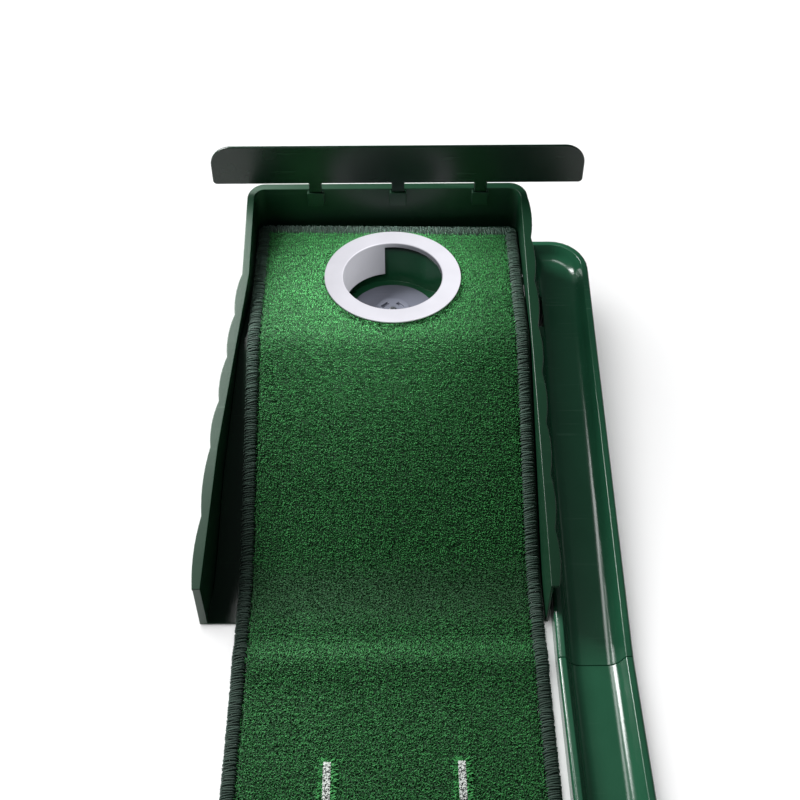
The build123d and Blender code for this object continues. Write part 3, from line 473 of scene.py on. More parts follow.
def rounded_end(bottom):
    """The lower edge of the ring's tube, from its inner wall round to its outer wall, as radius and height."""
    middle, half = mouth_radius + tube_wall / 2, tube_wall / 2
    turns = [math.radians(180 + 36 * i) for i in range(6)]
    return [(middle + half * math.cos(a), bottom + half + half * math.sin(a)) for a in turns]


edge = 0.0008                 # rounding of the flange's rim
mouth = 0.0014                # rounding where the flange turns down into the tube
rim_low = ring_high.z - flange_thickness
ring_profile = [(mouth_radius + tube_wall, rim_low), (ring_radius - edge, rim_low)]
for turn in (-60, -30, 0, 30, 60, 90):
    a = math.radians(turn)
    centre = ring_high.z - edge if turn > 0 else rim_low + edge
    ring_profile.append((ring_radius - edge + edge * math.cos(a), centre + edge * math.sin(a)))
for turn in (90, 112, 135, 158, 180):
    a = math.radians(turn)
    ring_profile.append((mouth_radius + mouth + mouth * math.cos(a), ring_high.z - mouth + mouth * math.sin(a)))

shape = bmesh.new()
rings = []
for degrees in range(0, 360, 2):
    a = math.radians(degrees + 1)
    way = Vector((math.cos(a), math.sin(a), 0))
    foot = Vector((cup_centre.x, cup_centre.y, 0))
    hangs = skirt_from <= degrees + 1 <= skirt_to
    turning = [foot + way * r + Vector((0, 0, z)) for r, z in ring_profile]
    ends = [[foot + way * r + Vector((0, 0, z)) for r, z in rounded_end(b)] for b in (lip_bottom, skirt_bottom)]
    both = degrees + 1 in (skirt_from, skirt_to)
    body = [shape.verts.new(p) for p in turning]
    lip = [shape.verts.new(p) for p in ends[0]] if both or not hangs else None
    skirt = [shape.verts.new(p) for p in ends[1]] if hangs else None
    rings.append((body, lip, skirt))
for here, after in zip(rings, rings[1:] + rings[:1]):
    tail = 2 if here[2] and after[2] else 1
    lower, upper = here[0] + here[tail], after[0] + after[tail]
    for i in range(len(lower)):
        j = (i + 1) % len(lower)
        shape.faces.new((lower[i], lower[j], upper[j], upper[i]))
for body, lip, skirt in rings:
    if lip and skirt:
        shape.faces.new(lip + skirt[::-1])
bmesh.ops.recalc_face_normals(shape, faces=shape.faces)
ring = finished(shape, "ring", 0.0003, "cup_ring", "cup_ring", white_plastic)

# The ring has a soft box of its own, more overhead than the key, which would burn it out.
lit_by_key.objects.link(ring)
lit_by_key.collection_objects[1].light_linking.link_state = "EXCLUDE"
ring_alone = bpy.data.collections.new("ring_alone")
ring_alone.objects.link(ring)
lamp("ring_box", "AREA", 13.5, (0.42, -0.05, 0.92), (0, 0, 0.12), size=(0.3, 0.3), receiver=ring_alone)

# ---- Backboard ----------------------------------------------------------
# A flat glossy board with rounded top corners, in a darker green. Three tongues on its lower edge drop into the
# tray's pockets.
board_plastic = moulded_plastic("dark_green_board", (0.0012, 0.014, 0.006), (0.04, 0.1, 0.06), 0.22, 0.3, 0.0001)
moulding("backboard", "board", 0.0012, "backboard", board_plastic)

# ---- Ball-return gutter -------------------------------------------------
# A sloping head piece hooked to the tray, four straight lengths on the ground and a closed catcher at the end, all
# moulded in the same green. The channel is a round-bottomed U, and dowel pins in the lips join the lengths.
gutter_plastic = moulded_plastic("green_gutter_plastic", (0.015, 0.082, 0.042), (0.08, 0.2, 0.13), 0.15, 0.3, 0.0001)
length_low, length_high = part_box("gutter_section_1")
head_low, head_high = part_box("gutter_head")
catcher_low, catcher_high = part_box("ball_catcher")
lip_width = 0.008
channel_depth = 0.016
side_draft = math.radians(24)
seat_radius = 0.014
skirt_wall = 0.0025
lip_rounding = 0.0034
mouth_rounding = 0.0012
head_fall = (head_high.z - length_high.z) / (head_high.y - head_low.y)
head_toe_out = math.tan(math.radians(0.9))
head_corner = 0.044
catcher_corner = 0.028
tight_corner = 0.005


def arc(across, down, radius, start, end, count):
    """Points round a centre, as distances in from the outside and down from the rim, for angles in degrees."""
    turns = [math.radians(start + (end - start) * i / (count - 1)) for i in range(count)]
    return [(across - radius * math.cos(a), down - radius * math.sin(a)) for a in turns]


def gutter_profile():
    """Half the gutter's section, from the skirt's inside over the lip to the channel's floor."""
    foot = lip_width + channel_depth * math.tan(side_draft)
    seat_start = foot + seat_radius * math.tan((math.pi / 2 - side_draft) / 2)
    line = arc(lip_rounding, lip_rounding, lip_rounding, 0, 90, 5)
    line += arc(lip_width - mouth_rounding, mouth_rounding, mouth_rounding, 90, 156, 4)
    line += arc(seat_start, channel_depth - seat_radius, seat_radius, -24, -90, 8)
    return line


def trough(front, back, closed=None, corners=(0.0, 0.0), fall=0.0, toe_out=0.0):
    """A length of gutter between two places along it, with one end closed and rounded, or both ends open."""
    flip = -1 if closed == "front" else 1
    shape = bmesh.new()
    section = [(skirt_wall, channel_depth + skirt_wall), (skirt_wall, None), (0.0, None), *gutter_profile()]

    def loop(inset, depth):
        """The gutter's outline from above at one point of the section, from the open end round to it again."""
        open_y, shut_y = (back, front) if closed == "front" else (front, back)
        end_y = shut_y - flip * inset if closed else shut_y
        left, right = length_low.x + inset, length_high.x - inset
        points = [(left, open_y)]
        for x, corner, start in ((left, corners[0], 180), (right, corners[1], 90)):
            radius = max(corner - inset, 0.002)
            into = 1 if x == left else -1
            for i in range(9):
                a = math.radians(start - 90 * i / 8)
                points.append((x + into * radius + radius * math.cos(a), end_y - flip * radius * (1 - math.sin(a))))
        if not closed:
            points = [(left, open_y), (left, end_y), (right, end_y)]
        points.append((right, open_y))
        made = []
        for x, y in points:
            z = length_low.z if depth is None else length_high.z + fall * (y - front) - depth
            made.append(shape.verts.new((x + toe_out * (y - front), y, z)))
        return made

    loops = [loop(inset, depth) for inset, depth in section]
    count = len(loops[0])
    open_back = None if closed else 1
    for outer, inner in zip(loops, loops[1:]):
        for i in range(count - 1):
            if i != open_back:
                shape.faces.new((outer[i], outer[i + 1], inner[i + 1], inner[i]))
    shape.faces.new(loops[0])
    shape.faces.new(loops[-1])
    shape.faces.new([line[0] for line in loops] + [line[-1] for line in reversed(loops)])
    if not closed:
        shape.faces.new([line[1] for line in loops] + [line[2] for line in reversed(loops)])
    bmesh.ops.recalc_face_normals(shape, faces=shape.faces)
    return shape

head = trough(head_low.y, head_high.y, "back", (tight_corner, head_corner), head_fall, head_toe_out)
notch_half = 0.0305           # clear of the chute's spout on both sides
notch_floor = 0.0497
notch_reach = 0.0227          # through the left lip and wall
notch = bmesh.new()
block(notch, (length_low.x - 0.001, -notch_half, notch_floor), (length_low.x + notch_reach, notch_half, head_high.z + 0.01))
head = cut(head, notch)
hook_width, hook_thickness, hook_height, hook_drop = 0.012, 0.003, 0.040, 0.005
for y in (-0.080, 0.080):
    near, far = y - hook_width / 2, y + hook_width / 2
    skirt_x = length_low.x + head_toe_out * (y - head_low.y) + skirt_wall / 2
    block(head, (head_low.x, near, hook_height), (skirt_x, far, hook_height + hook_thickness))
    block(head, (head_low.x, near, hook_height - hook_drop), (head_low.x + hook_thickness, far, hook_height))
finished(head, "gutter_top", 0.0005, "gutter_head", "root", gutter_plastic)
for number in range(1, 5):
    node = f"gutter_section_{number}"
    low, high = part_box(node)
    finished(trough(low.y, high.y), f"gutter_length_{number}", 0.0005, node, "gutter_run", gutter_plastic)
catcher = trough(catcher_low.y, catcher_high.y, "front", (catcher_corner, catcher_corner))
finished(catcher, "catcher", 0.0005, "ball_catcher", "gutter_run", gutter_plastic)

# A narrow soft box high over the mat, for the long highlight in the channel.
gutter_pieces = bpy.data.collections.new("gutter_pieces")
for name in ("gutter_top", "gutter_length_1", "gutter_length_2", "gutter_length_3", "gutter_length_4", "catcher"):
    gutter_pieces.objects.link(bpy.data.objects[name])
lamp("gutter_strip", "AREA", 4.5, (-0.10, 0.05, 0.88), (0.19, -0.35, 0.03), size=(0.20, 0.9), receiver=gutter_pieces)

nylon = moulded_plastic("green_nylon", (0.012, 0.05, 0.025), (0.1, 0.2, 0.14), 0.45, 0.2, 0.00005)
for number in range(1, 6):
    moulding(f"joint_pins_{number}", f"dowels_{number}", 0.0004, "gutter_run", nylon)

# ---- Mat: base cloth and backing ----------------------------------------
# A tufted carpet: a woven base cloth that carries the pile, bonded to black foam. It lies along the floor, rides
# up over the tray's front lip with a low wave that it keeps from being rolled up, and climbs the ramp.
pile_low, pile_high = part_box("turf_pile")
edge_low, edge_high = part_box("edge_binding")
backing_low, backing_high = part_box("mat_backing")
binding_width = pile_low.x - edge_low.x
pile_height = pile_high.z - backing_high.z
backing_thickness = 0.002
blade_stand = 0.0026          # how deep the pile is open between the blades

pile_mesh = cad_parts["turf_pile"].data
top_points = {}
for face in pile_mesh.polygons:
    if face.normal.z > 0.5:
        for index in face.vertices:
            point = pile_mesh.vertices[index].co
            top_points[round(point.y, 5)] = point.z
top_line = sorted(top_points.items())
lip_y = min(v.co.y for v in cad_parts["tray_shell"].data.vertices)


def pile_top(y):
    """Height of the pile's top at a place along the mat, with the wave in front of the tray's lip."""
    y = min(max(y, top_line[0][0]), top_line[-1][0])
    for (y0, z0), (y1, z1) in zip(top_line, top_line[1:]):
        if y <= y1:
            height = z0 + (z1 - z0) * (y - y0) / (y1 - y0)
            break
    behind_crest = y - (lip_y - 0.047)
    width = 0.015 if behind_crest > 0 else 0.023
    return height + 0.0050 * math.exp(-(behind_crest / width) ** 2)


hole_radius = 0.0585


def mat_surface(name, inset, drop, from_y=None, to_y=None, span=None):
    """The mat's bent surface as a grid of faces, a distance below the pile's top, with the cup's hole in it."""
    left, right = span or (edge_low.x + inset, edge_high.x - inset)
    front = edge_low.y + inset if from_y is None else from_y
    back = back_edge(left) - inset if to_y is None else to_y
    columns, rows = max(1, round((right - left) / 0.006)), max(2, round((back - front) / 0.005))
    shape = bmesh.new()
    grid = []
    for row in range(rows + 1):
        line = []
        for column in range(columns + 1):
            x = left + (right - left) * column / columns
            last = back if to_y is not None else back_edge(x) - inset
            y = front + (last - front) * row / rows
            line.append(shape.verts.new((x, y, pile_top(y) - drop)))
        grid.append(line)
    for below, above in zip(grid, grid[1:]):
        for column in range(columns):
            corners = (below[column], below[column + 1], above[column + 1], above[column])
            middle = sum((c.co for c in corners), Vector()) / 4
            if (middle - cup_centre).xy.length > hole_radius:
                shape.faces.new(corners)
    bmesh.ops.delete(shape, geom=[v for v in shape.verts if not v.link_faces], context="VERTS")
    for vert in shape.verts:
        offset = (vert.co - cup_centre).xy
        if vert.is_boundary and offset.length < hole_radius + 0.006:
            vert.co.xy = cup_centre.xy + offset.normalized() * hole_radius
    mesh = bpy.data.meshes.new(name)
    shape.to_mesh(mesh)
    shape.free()
    mesh.shade_smooth()
    surface = bpy.data.objects.new(name, mesh)
    bpy.context.scene.collection.objects.link(surface)
    return surface


binding_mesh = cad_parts["edge_binding"].data
back_left = max(v.co.y for v in binding_mesh.vertices)
back_right = max(v.co.y for v in binding_mesh.vertices if v.co.x > edge_high.x - 0.012)


def back_edge(x):
    """The mat's far edge, which is cut a little out of square."""
    share = (x - edge_low.x) / (edge_high.x - edge_low.x)
    return back_left + (back_right - back_left) * share


def thickened(surface, thickness):
    wall = surface.modifiers.new("thickness", "SOLIDIFY")
    wall.thickness = thickness
    wall.offset = -1
    settle(surface)
    return surface


# Two thin white lines along the mat, a gate for the putt.
line_half = 0.0034
putting_lines, given, out = effect(
    "putting_lines", [("Vector", "Vector", None), ("Colour", "Color", (0, 0, 0, 1)), ("Half Width", "Float", line_half)],
    [("Colour", "Color"), ("Line", "Float")])
line_left, line_right = cup_centre.x - 0.0625, cup_centre.x + 0.058
line_start, line_end = lip_y - 0.148, edge_low.y + 0.3
xyz = add(putting_lines, "ShaderNodeSeparateXYZ", {"Vector": given["Vector"]})
beside = []
for line_x in (line_left, line_right):
    away = add(putting_lines, "ShaderNodeMath", {0: xyz.outputs["X"], 1: line_x}, operation="SUBTRACT")
    away = add(putting_lines, "ShaderNodeMath", {0: away.outputs[0]}, operation="ABSOLUTE")
    beside.append(add(putting_lines, "ShaderNodeMath", {0: away.outputs[0], 1: given["Half Width"]}, operation="LESS_THAN"))
on_line = add(putting_lines, "ShaderNodeMath", {0: beside[0].outputs[0], 1: beside[1].outputs[0]}, operation="ADD")
before = add(putting_lines, "ShaderNodeMath", {0: xyz.outputs["Y"], 1: line_start}, operation="LESS_THAN")
after = add(putting_lines, "ShaderNodeMath", {0: xyz.outputs["Y"], 1: line_end}, operation="GREATER_THAN")
along = add(putting_lines, "ShaderNodeMath", {0: before.outputs[0], 1: after.outputs[0]}, operation="MULTIPLY")
white = add(putting_lines, "ShaderNodeMath", {0: along.outputs[0], 1: on_line.outputs[0]}, operation="MULTIPLY")
striped = add(putting_lines, "ShaderNodeMix", {
    "Factor": white.outputs[0], "A": given["Colour"], "B": (0.92, 0.95, 0.92, 1)}, data_type="RGBA")
putting_lines.links.new(striped.outputs["Result"], out["Colour"])
putting_lines.links.new(white.outputs[0], out["Line"])

base_cloth_material, tree, shader = finish_of("base_cloth")
place = add(tree, "ShaderNodeTexCoord").outputs["Object"]
threads = add(tree, "ShaderNodeTexWave", {"Vector": place, "Scale": 160.0, "Distortion": 1.5, "Detail": 1.0}, bands_direction="Y")
fibres = add(tree, "ShaderNodeTexNoise", {"Vector": place, "Scale": 700.0, "Detail": 2.0})
ground = add(tree, "ShaderNodeMix", {"Factor": fibres.outputs["Fac"], "A": (0.006, 0.03, 0.01, 1), "B": (0.02, 0.09, 0.03, 1)}, data_type="RGBA")
bump = add(tree, "ShaderNodeBump", {"Strength": 0.6, "Distance": 0.0004, "Height": threads.outputs["Fac"]})
lines = add(tree, "ShaderNodeGroup", node_tree=putting_lines)
tree.links.new(place, lines.inputs["Vector"])
tree.links.new(ground.outputs["Result"], lines.inputs["Colour"])
tree.links.new(lines.outputs["Colour"], shader.inputs["Base Color"])
tree.links.new(bump.outputs["Normal"], shader.inputs["Normal"])
shader.inputs["Roughness"].default_value = 0.9
base_cloth = mat_surface("base_cloth", binding_width, blade_stand)
thickened(base_cloth, pile_height - blade_stand)
base_cloth.data.materials.append(base_cloth_material)
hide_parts("turf_pile")
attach(base_cloth, "root")

foam_material, tree, shader = finish_of("black_foam")
place = add(tree, "ShaderNodeTexCoord").outputs["Object"]
cells = add(tree, "ShaderNodeTexVoronoi", {"Vector": place, "Scale": 500.0})
soot = add(tree, "ShaderNodeMapRange", {"Value": cells.outputs["Distance"], "To Min": 0.008, "To Max": 0.025})
bump = add(tree, "ShaderNodeBump", {"Strength": 0.8, "Distance": 0.0004, "Height": cells.outputs["Distance"]})
tree.links.new(soot.outputs["Result"], shader.inputs["Base Color"])
tree.links.new(bump.outputs["Normal"], shader.inputs["Normal"])
shader.inputs["Roughness"].default_value = 0.9
foam = mat_surface("foam_backing", binding_width, pile_height)
thickened(foam, backing_thickness)
foam.data.materials.append(foam_material)
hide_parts("mat_backing")
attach(foam, "root")

# ---- Mat: pile ----------------------------------------------------------
# Short cut pile: bundles of green fibre that lean every way, a little more towards the player. Two thin white
# lines, tufted in white fibre, run along the mat as a gate for the putt.
blade_radius, blade_length, tuft_radius = 0.00085, 0.0031, 0.0009
chance = random.Random(2)
tuft_points, tuft_faces, rises = [], [], []
for number in range(4):
    turn = math.tau * (number + chance.uniform(-0.25, 0.25)) / 4
    outwards = Vector((math.cos(turn), math.sin(turn), 0))
    root = outwards * tuft_radius
    lean = chance.uniform(0.25, 0.95)
    first = len(tuft_points)
    spin = chance.uniform(0, math.tau)
    for i in range(3):
        a = spin + math.tau * i / 3
        tuft_points.append(root + blade_radius * Vector((math.cos(a), math.sin(a), 0)))
    tuft_points.append(root + blade_length * (outwards * math.sin(lean) + Vector((0, 0, math.cos(lean)))))
    tuft_faces += [(first, first + 1, first + 3), (first + 1, first + 2, first + 3), (first + 2, first, first + 3)]
    rises += [0, 0, 0, 1]
tuft_mesh = bpy.data.meshes.new("tuft")
tuft_mesh.from_pydata(tuft_points, [], tuft_faces)
tuft_mesh.attributes.new("rise", "FLOAT", "POINT").data.foreach_set("value", rises)
one_tuft = bpy.data.objects.new("tuft", tuft_mesh)

pile_tree, given, out = growing("cut_pile", [
    ("Tuft", "Object", None), ("Spacing", "Float", 0.0021), ("Lean", "Float", 0.2), ("Nap", "Float", -0.15),
    ("Thickness", "Float", 1.0), ("Cup", "Vector", None), ("Rim", "Float", 0.076), ("Seed", "Int", 3),
    ("Material", "Material", None)])
spots = add(pile_tree, "GeometryNodeDistributePointsOnFaces", {
    "Mesh": given["Geometry"], "Distance Min": given["Spacing"], "Density Max": 900000.0, "Seed": given["Seed"]},
    distribute_method="POISSON")
tuft_of = add(pile_tree, "GeometryNodeObjectInfo", {"Object": given["Tuft"]})
lean_least = add(pile_tree, "ShaderNodeMath", {0: given["Lean"], 1: -1.0}, operation="MULTIPLY")
least = add(pile_tree, "ShaderNodeCombineXYZ", {"X": lean_least.outputs[0], "Y": lean_least.outputs[0], "Z": 0.0})
most = add(pile_tree, "ShaderNodeCombineXYZ", {"X": given["Lean"], "Y": given["Lean"], "Z": 6.283})
turned = add(pile_tree, "FunctionNodeRandomValue", {0: least.outputs[0], 1: most.outputs[0], "Seed": given["Seed"]}, data_type="FLOAT_VECTOR")
nap = add(pile_tree, "ShaderNodeCombineXYZ", {"X": given["Nap"]})
standing = add(pile_tree, "FunctionNodeRotateRotation", {"Rotation": spots.outputs["Rotation"], "Rotate By": turned.outputs[0]}, rotation_space="LOCAL")
napped = add(pile_tree, "FunctionNodeRotateRotation", {"Rotation": standing.outputs[0], "Rotate By": nap.outputs[0]}, rotation_space="GLOBAL")
sized = add(pile_tree, "FunctionNodeRandomValue", {0: (0.8, 0.8, 0.75), 1: (1.25, 1.25, 1.15), "Seed": 7}, data_type="FLOAT_VECTOR")
thick = add(pile_tree, "ShaderNodeCombineXYZ", {"X": given["Thickness"], "Y": given["Thickness"], "Z": 1.0})
sized = add(pile_tree, "ShaderNodeVectorMath", {0: sized.outputs[0], 1: thick.outputs[0]}, operation="MULTIPLY")
where = add(pile_tree, "GeometryNodeInputPosition")
from_cup = add(pile_tree, "ShaderNodeVectorMath", {0: where.outputs[0], 1: given["Cup"]}, operation="SUBTRACT")
level = add(pile_tree, "ShaderNodeVectorMath", {0: from_cup.outputs[0], 1: (1, 1, 0)}, operation="MULTIPLY")
away = add(pile_tree, "ShaderNodeVectorMath", {0: level.outputs[0]}, operation="LENGTH")
past_rim = add(pile_tree, "ShaderNodeMath", {0: away.outputs["Value"], 1: given["Rim"]}, operation="SUBTRACT")
raised = add(pile_tree, "ShaderNodeMapRange", {
    "Value": past_rim.outputs[0], "From Min": 0.0, "From Max": 0.006, "To Min": 0.0024, "To Max": 0.0})
outside = add(pile_tree, "ShaderNodeMath", {0: past_rim.outputs[0], 1: 0.0}, operation="GREATER_THAN")
pushed = add(pile_tree, "ShaderNodeMath", {0: outside.outputs[0], 1: raised.outputs["Result"]}, operation="MULTIPLY")
upwards = add(pile_tree, "ShaderNodeCombineXYZ", {"Z": pushed.outputs[0]})
banked = add(pile_tree, "GeometryNodeSetPosition", {"Geometry": spots.outputs["Points"], "Offset": upwards.outputs[0]})
blades = add(pile_tree, "GeometryNodeInstanceOnPoints", {
    "Points": banked.outputs[0], "Instance": tuft_of.outputs["Geometry"], "Rotation": napped.outputs[0],
    "Scale": sized.outputs[0]})
shade = add(pile_tree, "FunctionNodeRandomValue", {2: 0.0, 3: 1.0, "Seed": 11}, data_type="FLOAT")
shaded = add(pile_tree, "GeometryNodeStoreNamedAttribute", {
    "Geometry": blades.outputs[0], "Name": "shade", "Value": shade.outputs[1]}, data_type="FLOAT", domain="INSTANCE")
shaded = add(pile_tree, "GeometryNodeStoreNamedAttribute", {
    "Geometry": shaded.outputs[0], "Name": "ground_normal", "Value": spots.outputs["Normal"]},
    data_type="FLOAT_VECTOR", domain="INSTANCE")
real = add(pile_tree, "GeometryNodeRealizeInstances", {"Geometry": shaded.outputs[0]})
coated = add(pile_tree, "GeometryNodeSetMaterial", {"Geometry": real.outputs[0], "Material": given["Material"]})
pile_tree.links.new(coated.outputs[0], out["Geometry"])

hollow_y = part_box("ramp_deck")[0].y + 0.004
pile_material, tree, shader = finish_of("green_pile")
place = add(tree, "ShaderNodeTexCoord").outputs["Object"]
rise = add(tree, "ShaderNodeAttribute", attribute_name="rise")
shade = add(tree, "ShaderNodeAttribute", attribute_name="shade")
clumps = add(tree, "ShaderNodeTexNoise", {"Vector": place, "Scale": 280.0, "Detail": 1.0})
patches = add(tree, "ShaderNodeTexNoise", {"Vector": place, "Scale": 20.0, "Detail": 3.0})
tone = add(tree, "ShaderNodeMath", {0: clumps.outputs["Fac"], 1: 1.5, 2: shade.outputs["Fac"]}, operation="MULTIPLY_ADD")
tone = add(tree, "ShaderNodeMath", {0: patches.outputs["Fac"], 1: 0.5, 2: tone.outputs[0]}, operation="MULTIPLY_ADD")
rows = add(tree, "ShaderNodeTexWave", {
    "Vector": place, "Scale": 55.0, "Distortion": 5.0, "Detail": 2.0, "Detail Scale": 3.0}, bands_direction="Y")
tone = add(tree, "ShaderNodeMath", {0: rows.outputs["Fac"], 1: 0.75, 2: tone.outputs[0]}, operation="MULTIPLY_ADD")
lit = add(tree, "ShaderNodeMapRange", {"Value": tone.outputs[0], "From Min": 1.0, "From Max": 2.6})
green = add(tree, "ShaderNodeMix", {
    "Factor": lit.outputs["Result"], "A": (0.035, 0.30, 0.065, 1), "B": (0.19, 0.96, 0.26, 1)}, data_type="RGBA")
lines = add(tree, "ShaderNodeGroup", node_tree=putting_lines)
tree.links.new(place, lines.inputs["Vector"])
tree.links.new(green.outputs["Result"], lines.inputs["Colour"])
# Painted shade: each blade's colour darkens towards its root, where the pile around it shades it; blades in the white
# lines hardly darken.
height = add(tree, "ShaderNodeMath", {0: rise.outputs["Fac"], 1: 2.5}, operation="POWER")
least = add(tree, "ShaderNodeMath", {0: lines.outputs["Line"], 1: 0.9, 2: 0.08}, operation="MULTIPLY_ADD")
deep = add(tree, "ShaderNodeMapRange", {"Value": height.outputs[0], "To Min": least.outputs[0], "To Max": 1.0})
root_shaded = add(tree, "ShaderNodeVectorMath", {0: lines.outputs["Colour"], "Scale": deep.outputs["Result"]}, operation="SCALE")
# Painted shade: the pile's colour is darkened in a band round the hollow at the ramp's foot, darkest in its middle.
along = add(tree, "ShaderNodeSeparateXYZ", {"Vector": place})
off_hollow = add(tree, "ShaderNodeMath", {0: along.outputs["Y"], 1: hollow_y}, operation="SUBTRACT")
off_hollow = add(tree, "ShaderNodeMath", {0: off_hollow.outputs[0]}, operation="ABSOLUTE")
# closed: the painted shade's factor, 0.36 at the hollow and 1 away from it.
closed = add(tree, "ShaderNodeMapRange", {
    "Value": off_hollow.outputs[0], "From Min": 0.010, "From Max": 0.045, "To Min": 0.36, "To Max": 1.0},
    interpolation_type="SMOOTHSTEP")
hollow_shaded = add(tree, "ShaderNodeVectorMath", {0: root_shaded.outputs[0], "Scale": closed.outputs["Result"]}, operation="SCALE")
tree.links.new(hollow_shaded.outputs[0], shader.inputs["Base Color"])
ground = add(tree, "ShaderNodeAttribute", attribute_name="ground_normal")
own = add(tree, "ShaderNodeNewGeometry")
softened = add(tree, "ShaderNodeMath", {0: lines.outputs["Line"], 1: 0.3, 2: 0.7}, operation="MULTIPLY_ADD")
soft = add(tree, "ShaderNodeMix", {"Factor": softened.outputs[0], "A": own.outputs["Normal"], "B": ground.outputs["Vector"]}, data_type="VECTOR")
facing = add(tree, "ShaderNodeVectorMath", {0: soft.outputs["Result"]}, operation="NORMALIZE")
tree.links.new(facing.outputs[0], shader.inputs["Normal"])
shader.inputs["Roughness"].default_value = 0.55
shader.inputs["Specular IOR Level"].default_value = 0.5
shader.inputs["Specular Tint"].default_value = (0.38, 1.0, 0.48, 1)

tufts = []
strips = 8
strip_ends = [edge_low.y + binding_width + (pile_high.y - edge_low.y - binding_width) * i / strips for i in range(strips + 1)]
for number, (front, back) in enumerate(zip(strip_ends, strip_ends[1:]), 1):
    last = number == strips
    tuft = mat_surface(f"pile_{number}", binding_width, blade_stand + 0.0003, front, None if last else back)
    grow(tuft, pile_tree, Tuft=one_tuft, Spacing=0.0021, Cup=cup_centre,
         Seed=number, Material=pile_material)
    tufts.append(tuft)
for side, line_x in (("left", line_left), ("right", line_right)):
    band = (line_x - line_half, line_x + line_half)
    tuft = mat_surface(f"white_line_{side}", 0.0, blade_stand - 0.0007, line_end, line_start, band)
    grow(tuft, pile_tree, Tuft=one_tuft, Spacing=0.0012, Lean=0.0,
         Thickness=2.0, Cup=cup_centre, Seed=20, Material=pile_material)
    tufts.append(tuft)
for tuft in tufts:
    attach(tuft, "root")

# ---- Mat: bound edge ----------------------------------------------------
# Thick dark green yarn overlocked round the mat's raw edge: a padded core, and a stitch every couple of
# millimetres that comes up through the pile, over the edge and round to the underside.
def edge_line(inset, corner_radius=0.009, step=0.004):
    """The mat's outline from above, moved in from the edge, as points from the front left corner round to it."""
    left, right, front = edge_low.x + inset, edge_high.x - inset, edge_low.y + inset
    corners = [(left, front), (right, front), (right, back_edge(right) - inset), (left, back_edge(left) - inset)]
    radius = max(corner_radius - inset, 0.0015)
    points = []
    for index, corner in enumerate(corners):
        corner = Vector(corner)
        before = (Vector(corners[index - 1]) - corner).normalized()
        after = (Vector(corners[(index + 1) % 4]) - corner).normalized()
        for share in (0, 0.15, 0.35, 0.5, 0.65, 0.85, 1):
            start, end = corner + before * radius, corner + after * radius
            points.append(start * (1 - share) ** 2 + corner * 2 * share * (1 - share) + end * share ** 2)
        following = Vector(corners[(index + 1) % 4]) + (corner - Vector(corners[(index + 1) % 4])).normalized() * radius
        start = corner + after * radius
        count = int((following - start).length / step)
        points += [start.lerp(following, i / count) for i in range(1, count)]
    return points


def arch(share):
    """A point of the stitch's arch, as shares of its half width and its height, from the inner foot to the outer."""
    angle = math.pi * (1 - share)
    across = math.copysign(abs(math.cos(angle)) ** 0.62, math.cos(angle))
    return across, math.sin(angle) ** 0.62


half_width = binding_width / 2
core_height = edge_high.z - backing_low.z - (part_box("ramp_deck")[1].z - backing_low.z)
core_line = edge_line(half_width)
core_shares = [0, 0.08, 0.2, 0.35, 0.5, 0.65, 0.8, 0.92, 1]
stitch_radius = 0.0013
core_points, core_faces = [], []
for index, point in enumerate(core_line):
    ahead, behind = core_line[(index + 1) % len(core_line)], core_line[index - 1]
    run = (ahead - behind).normalized()
    outwards = Vector((run.y, -run.x))
    for share in core_shares:
        across, up = arch(share)
        spot = point + outwards * across * (half_width - stitch_radius)
        bottom = pile_top(spot.y) - pile_height - backing_thickness
        core_points.append((spot.x, spot.y, bottom + 0.0003 + up * (core_height - stitch_radius - 0.0008)))
sides = len(core_shares)
for index in range(len(core_line)):
    following = (index + 1) % len(core_line)
    for side in range(sides):
        other = (side + 1) % sides
        core_faces.append((index * sides + side, index * sides + other, following * sides + other, following * sides + side))
core_mesh = bpy.data.meshes.new("edge_core")
core_mesh.from_pydata(core_points, [], core_faces)
core_mesh.shade_smooth()
edge_core = bpy.data.objects.new("edge_core", core_mesh)
bpy.context.scene.collection.objects.link(edge_core)

stitch_rings = 7
yarn_points, yarn_faces = [], []
for ring in range(stitch_rings):
    across, up = arch(ring / (stitch_rings - 1))
    for side in range(3):
        angle = math.radians(90 + 120 * side)
        swell = stitch_radius * math.sin(angle)
        width = 1 + swell / half_width
        height = 1 + swell / core_height
        yarn_points.append((
            across * (half_width - stitch_radius) * width,
            stitch_radius * math.cos(angle) * 1.15,
            up * (core_height - stitch_radius) * height))
for ring in range(stitch_rings - 1):
    for side in range(3):
        other = (side + 1) % 3
        yarn_faces.append((ring * 3 + side, ring * 3 + other, ring * 3 + 3 + other, ring * 3 + 3 + side))
yarn_faces += [(2, 1, 0), tuple(3 * (stitch_rings - 1) + side for side in range(3))]
stitch_mesh = bpy.data.meshes.new("stitch")
stitch_mesh.from_pydata(yarn_points, [], yarn_faces)
stitch_mesh.shade_smooth()
stitch = bpy.data.objects.new("stitch", stitch_mesh)

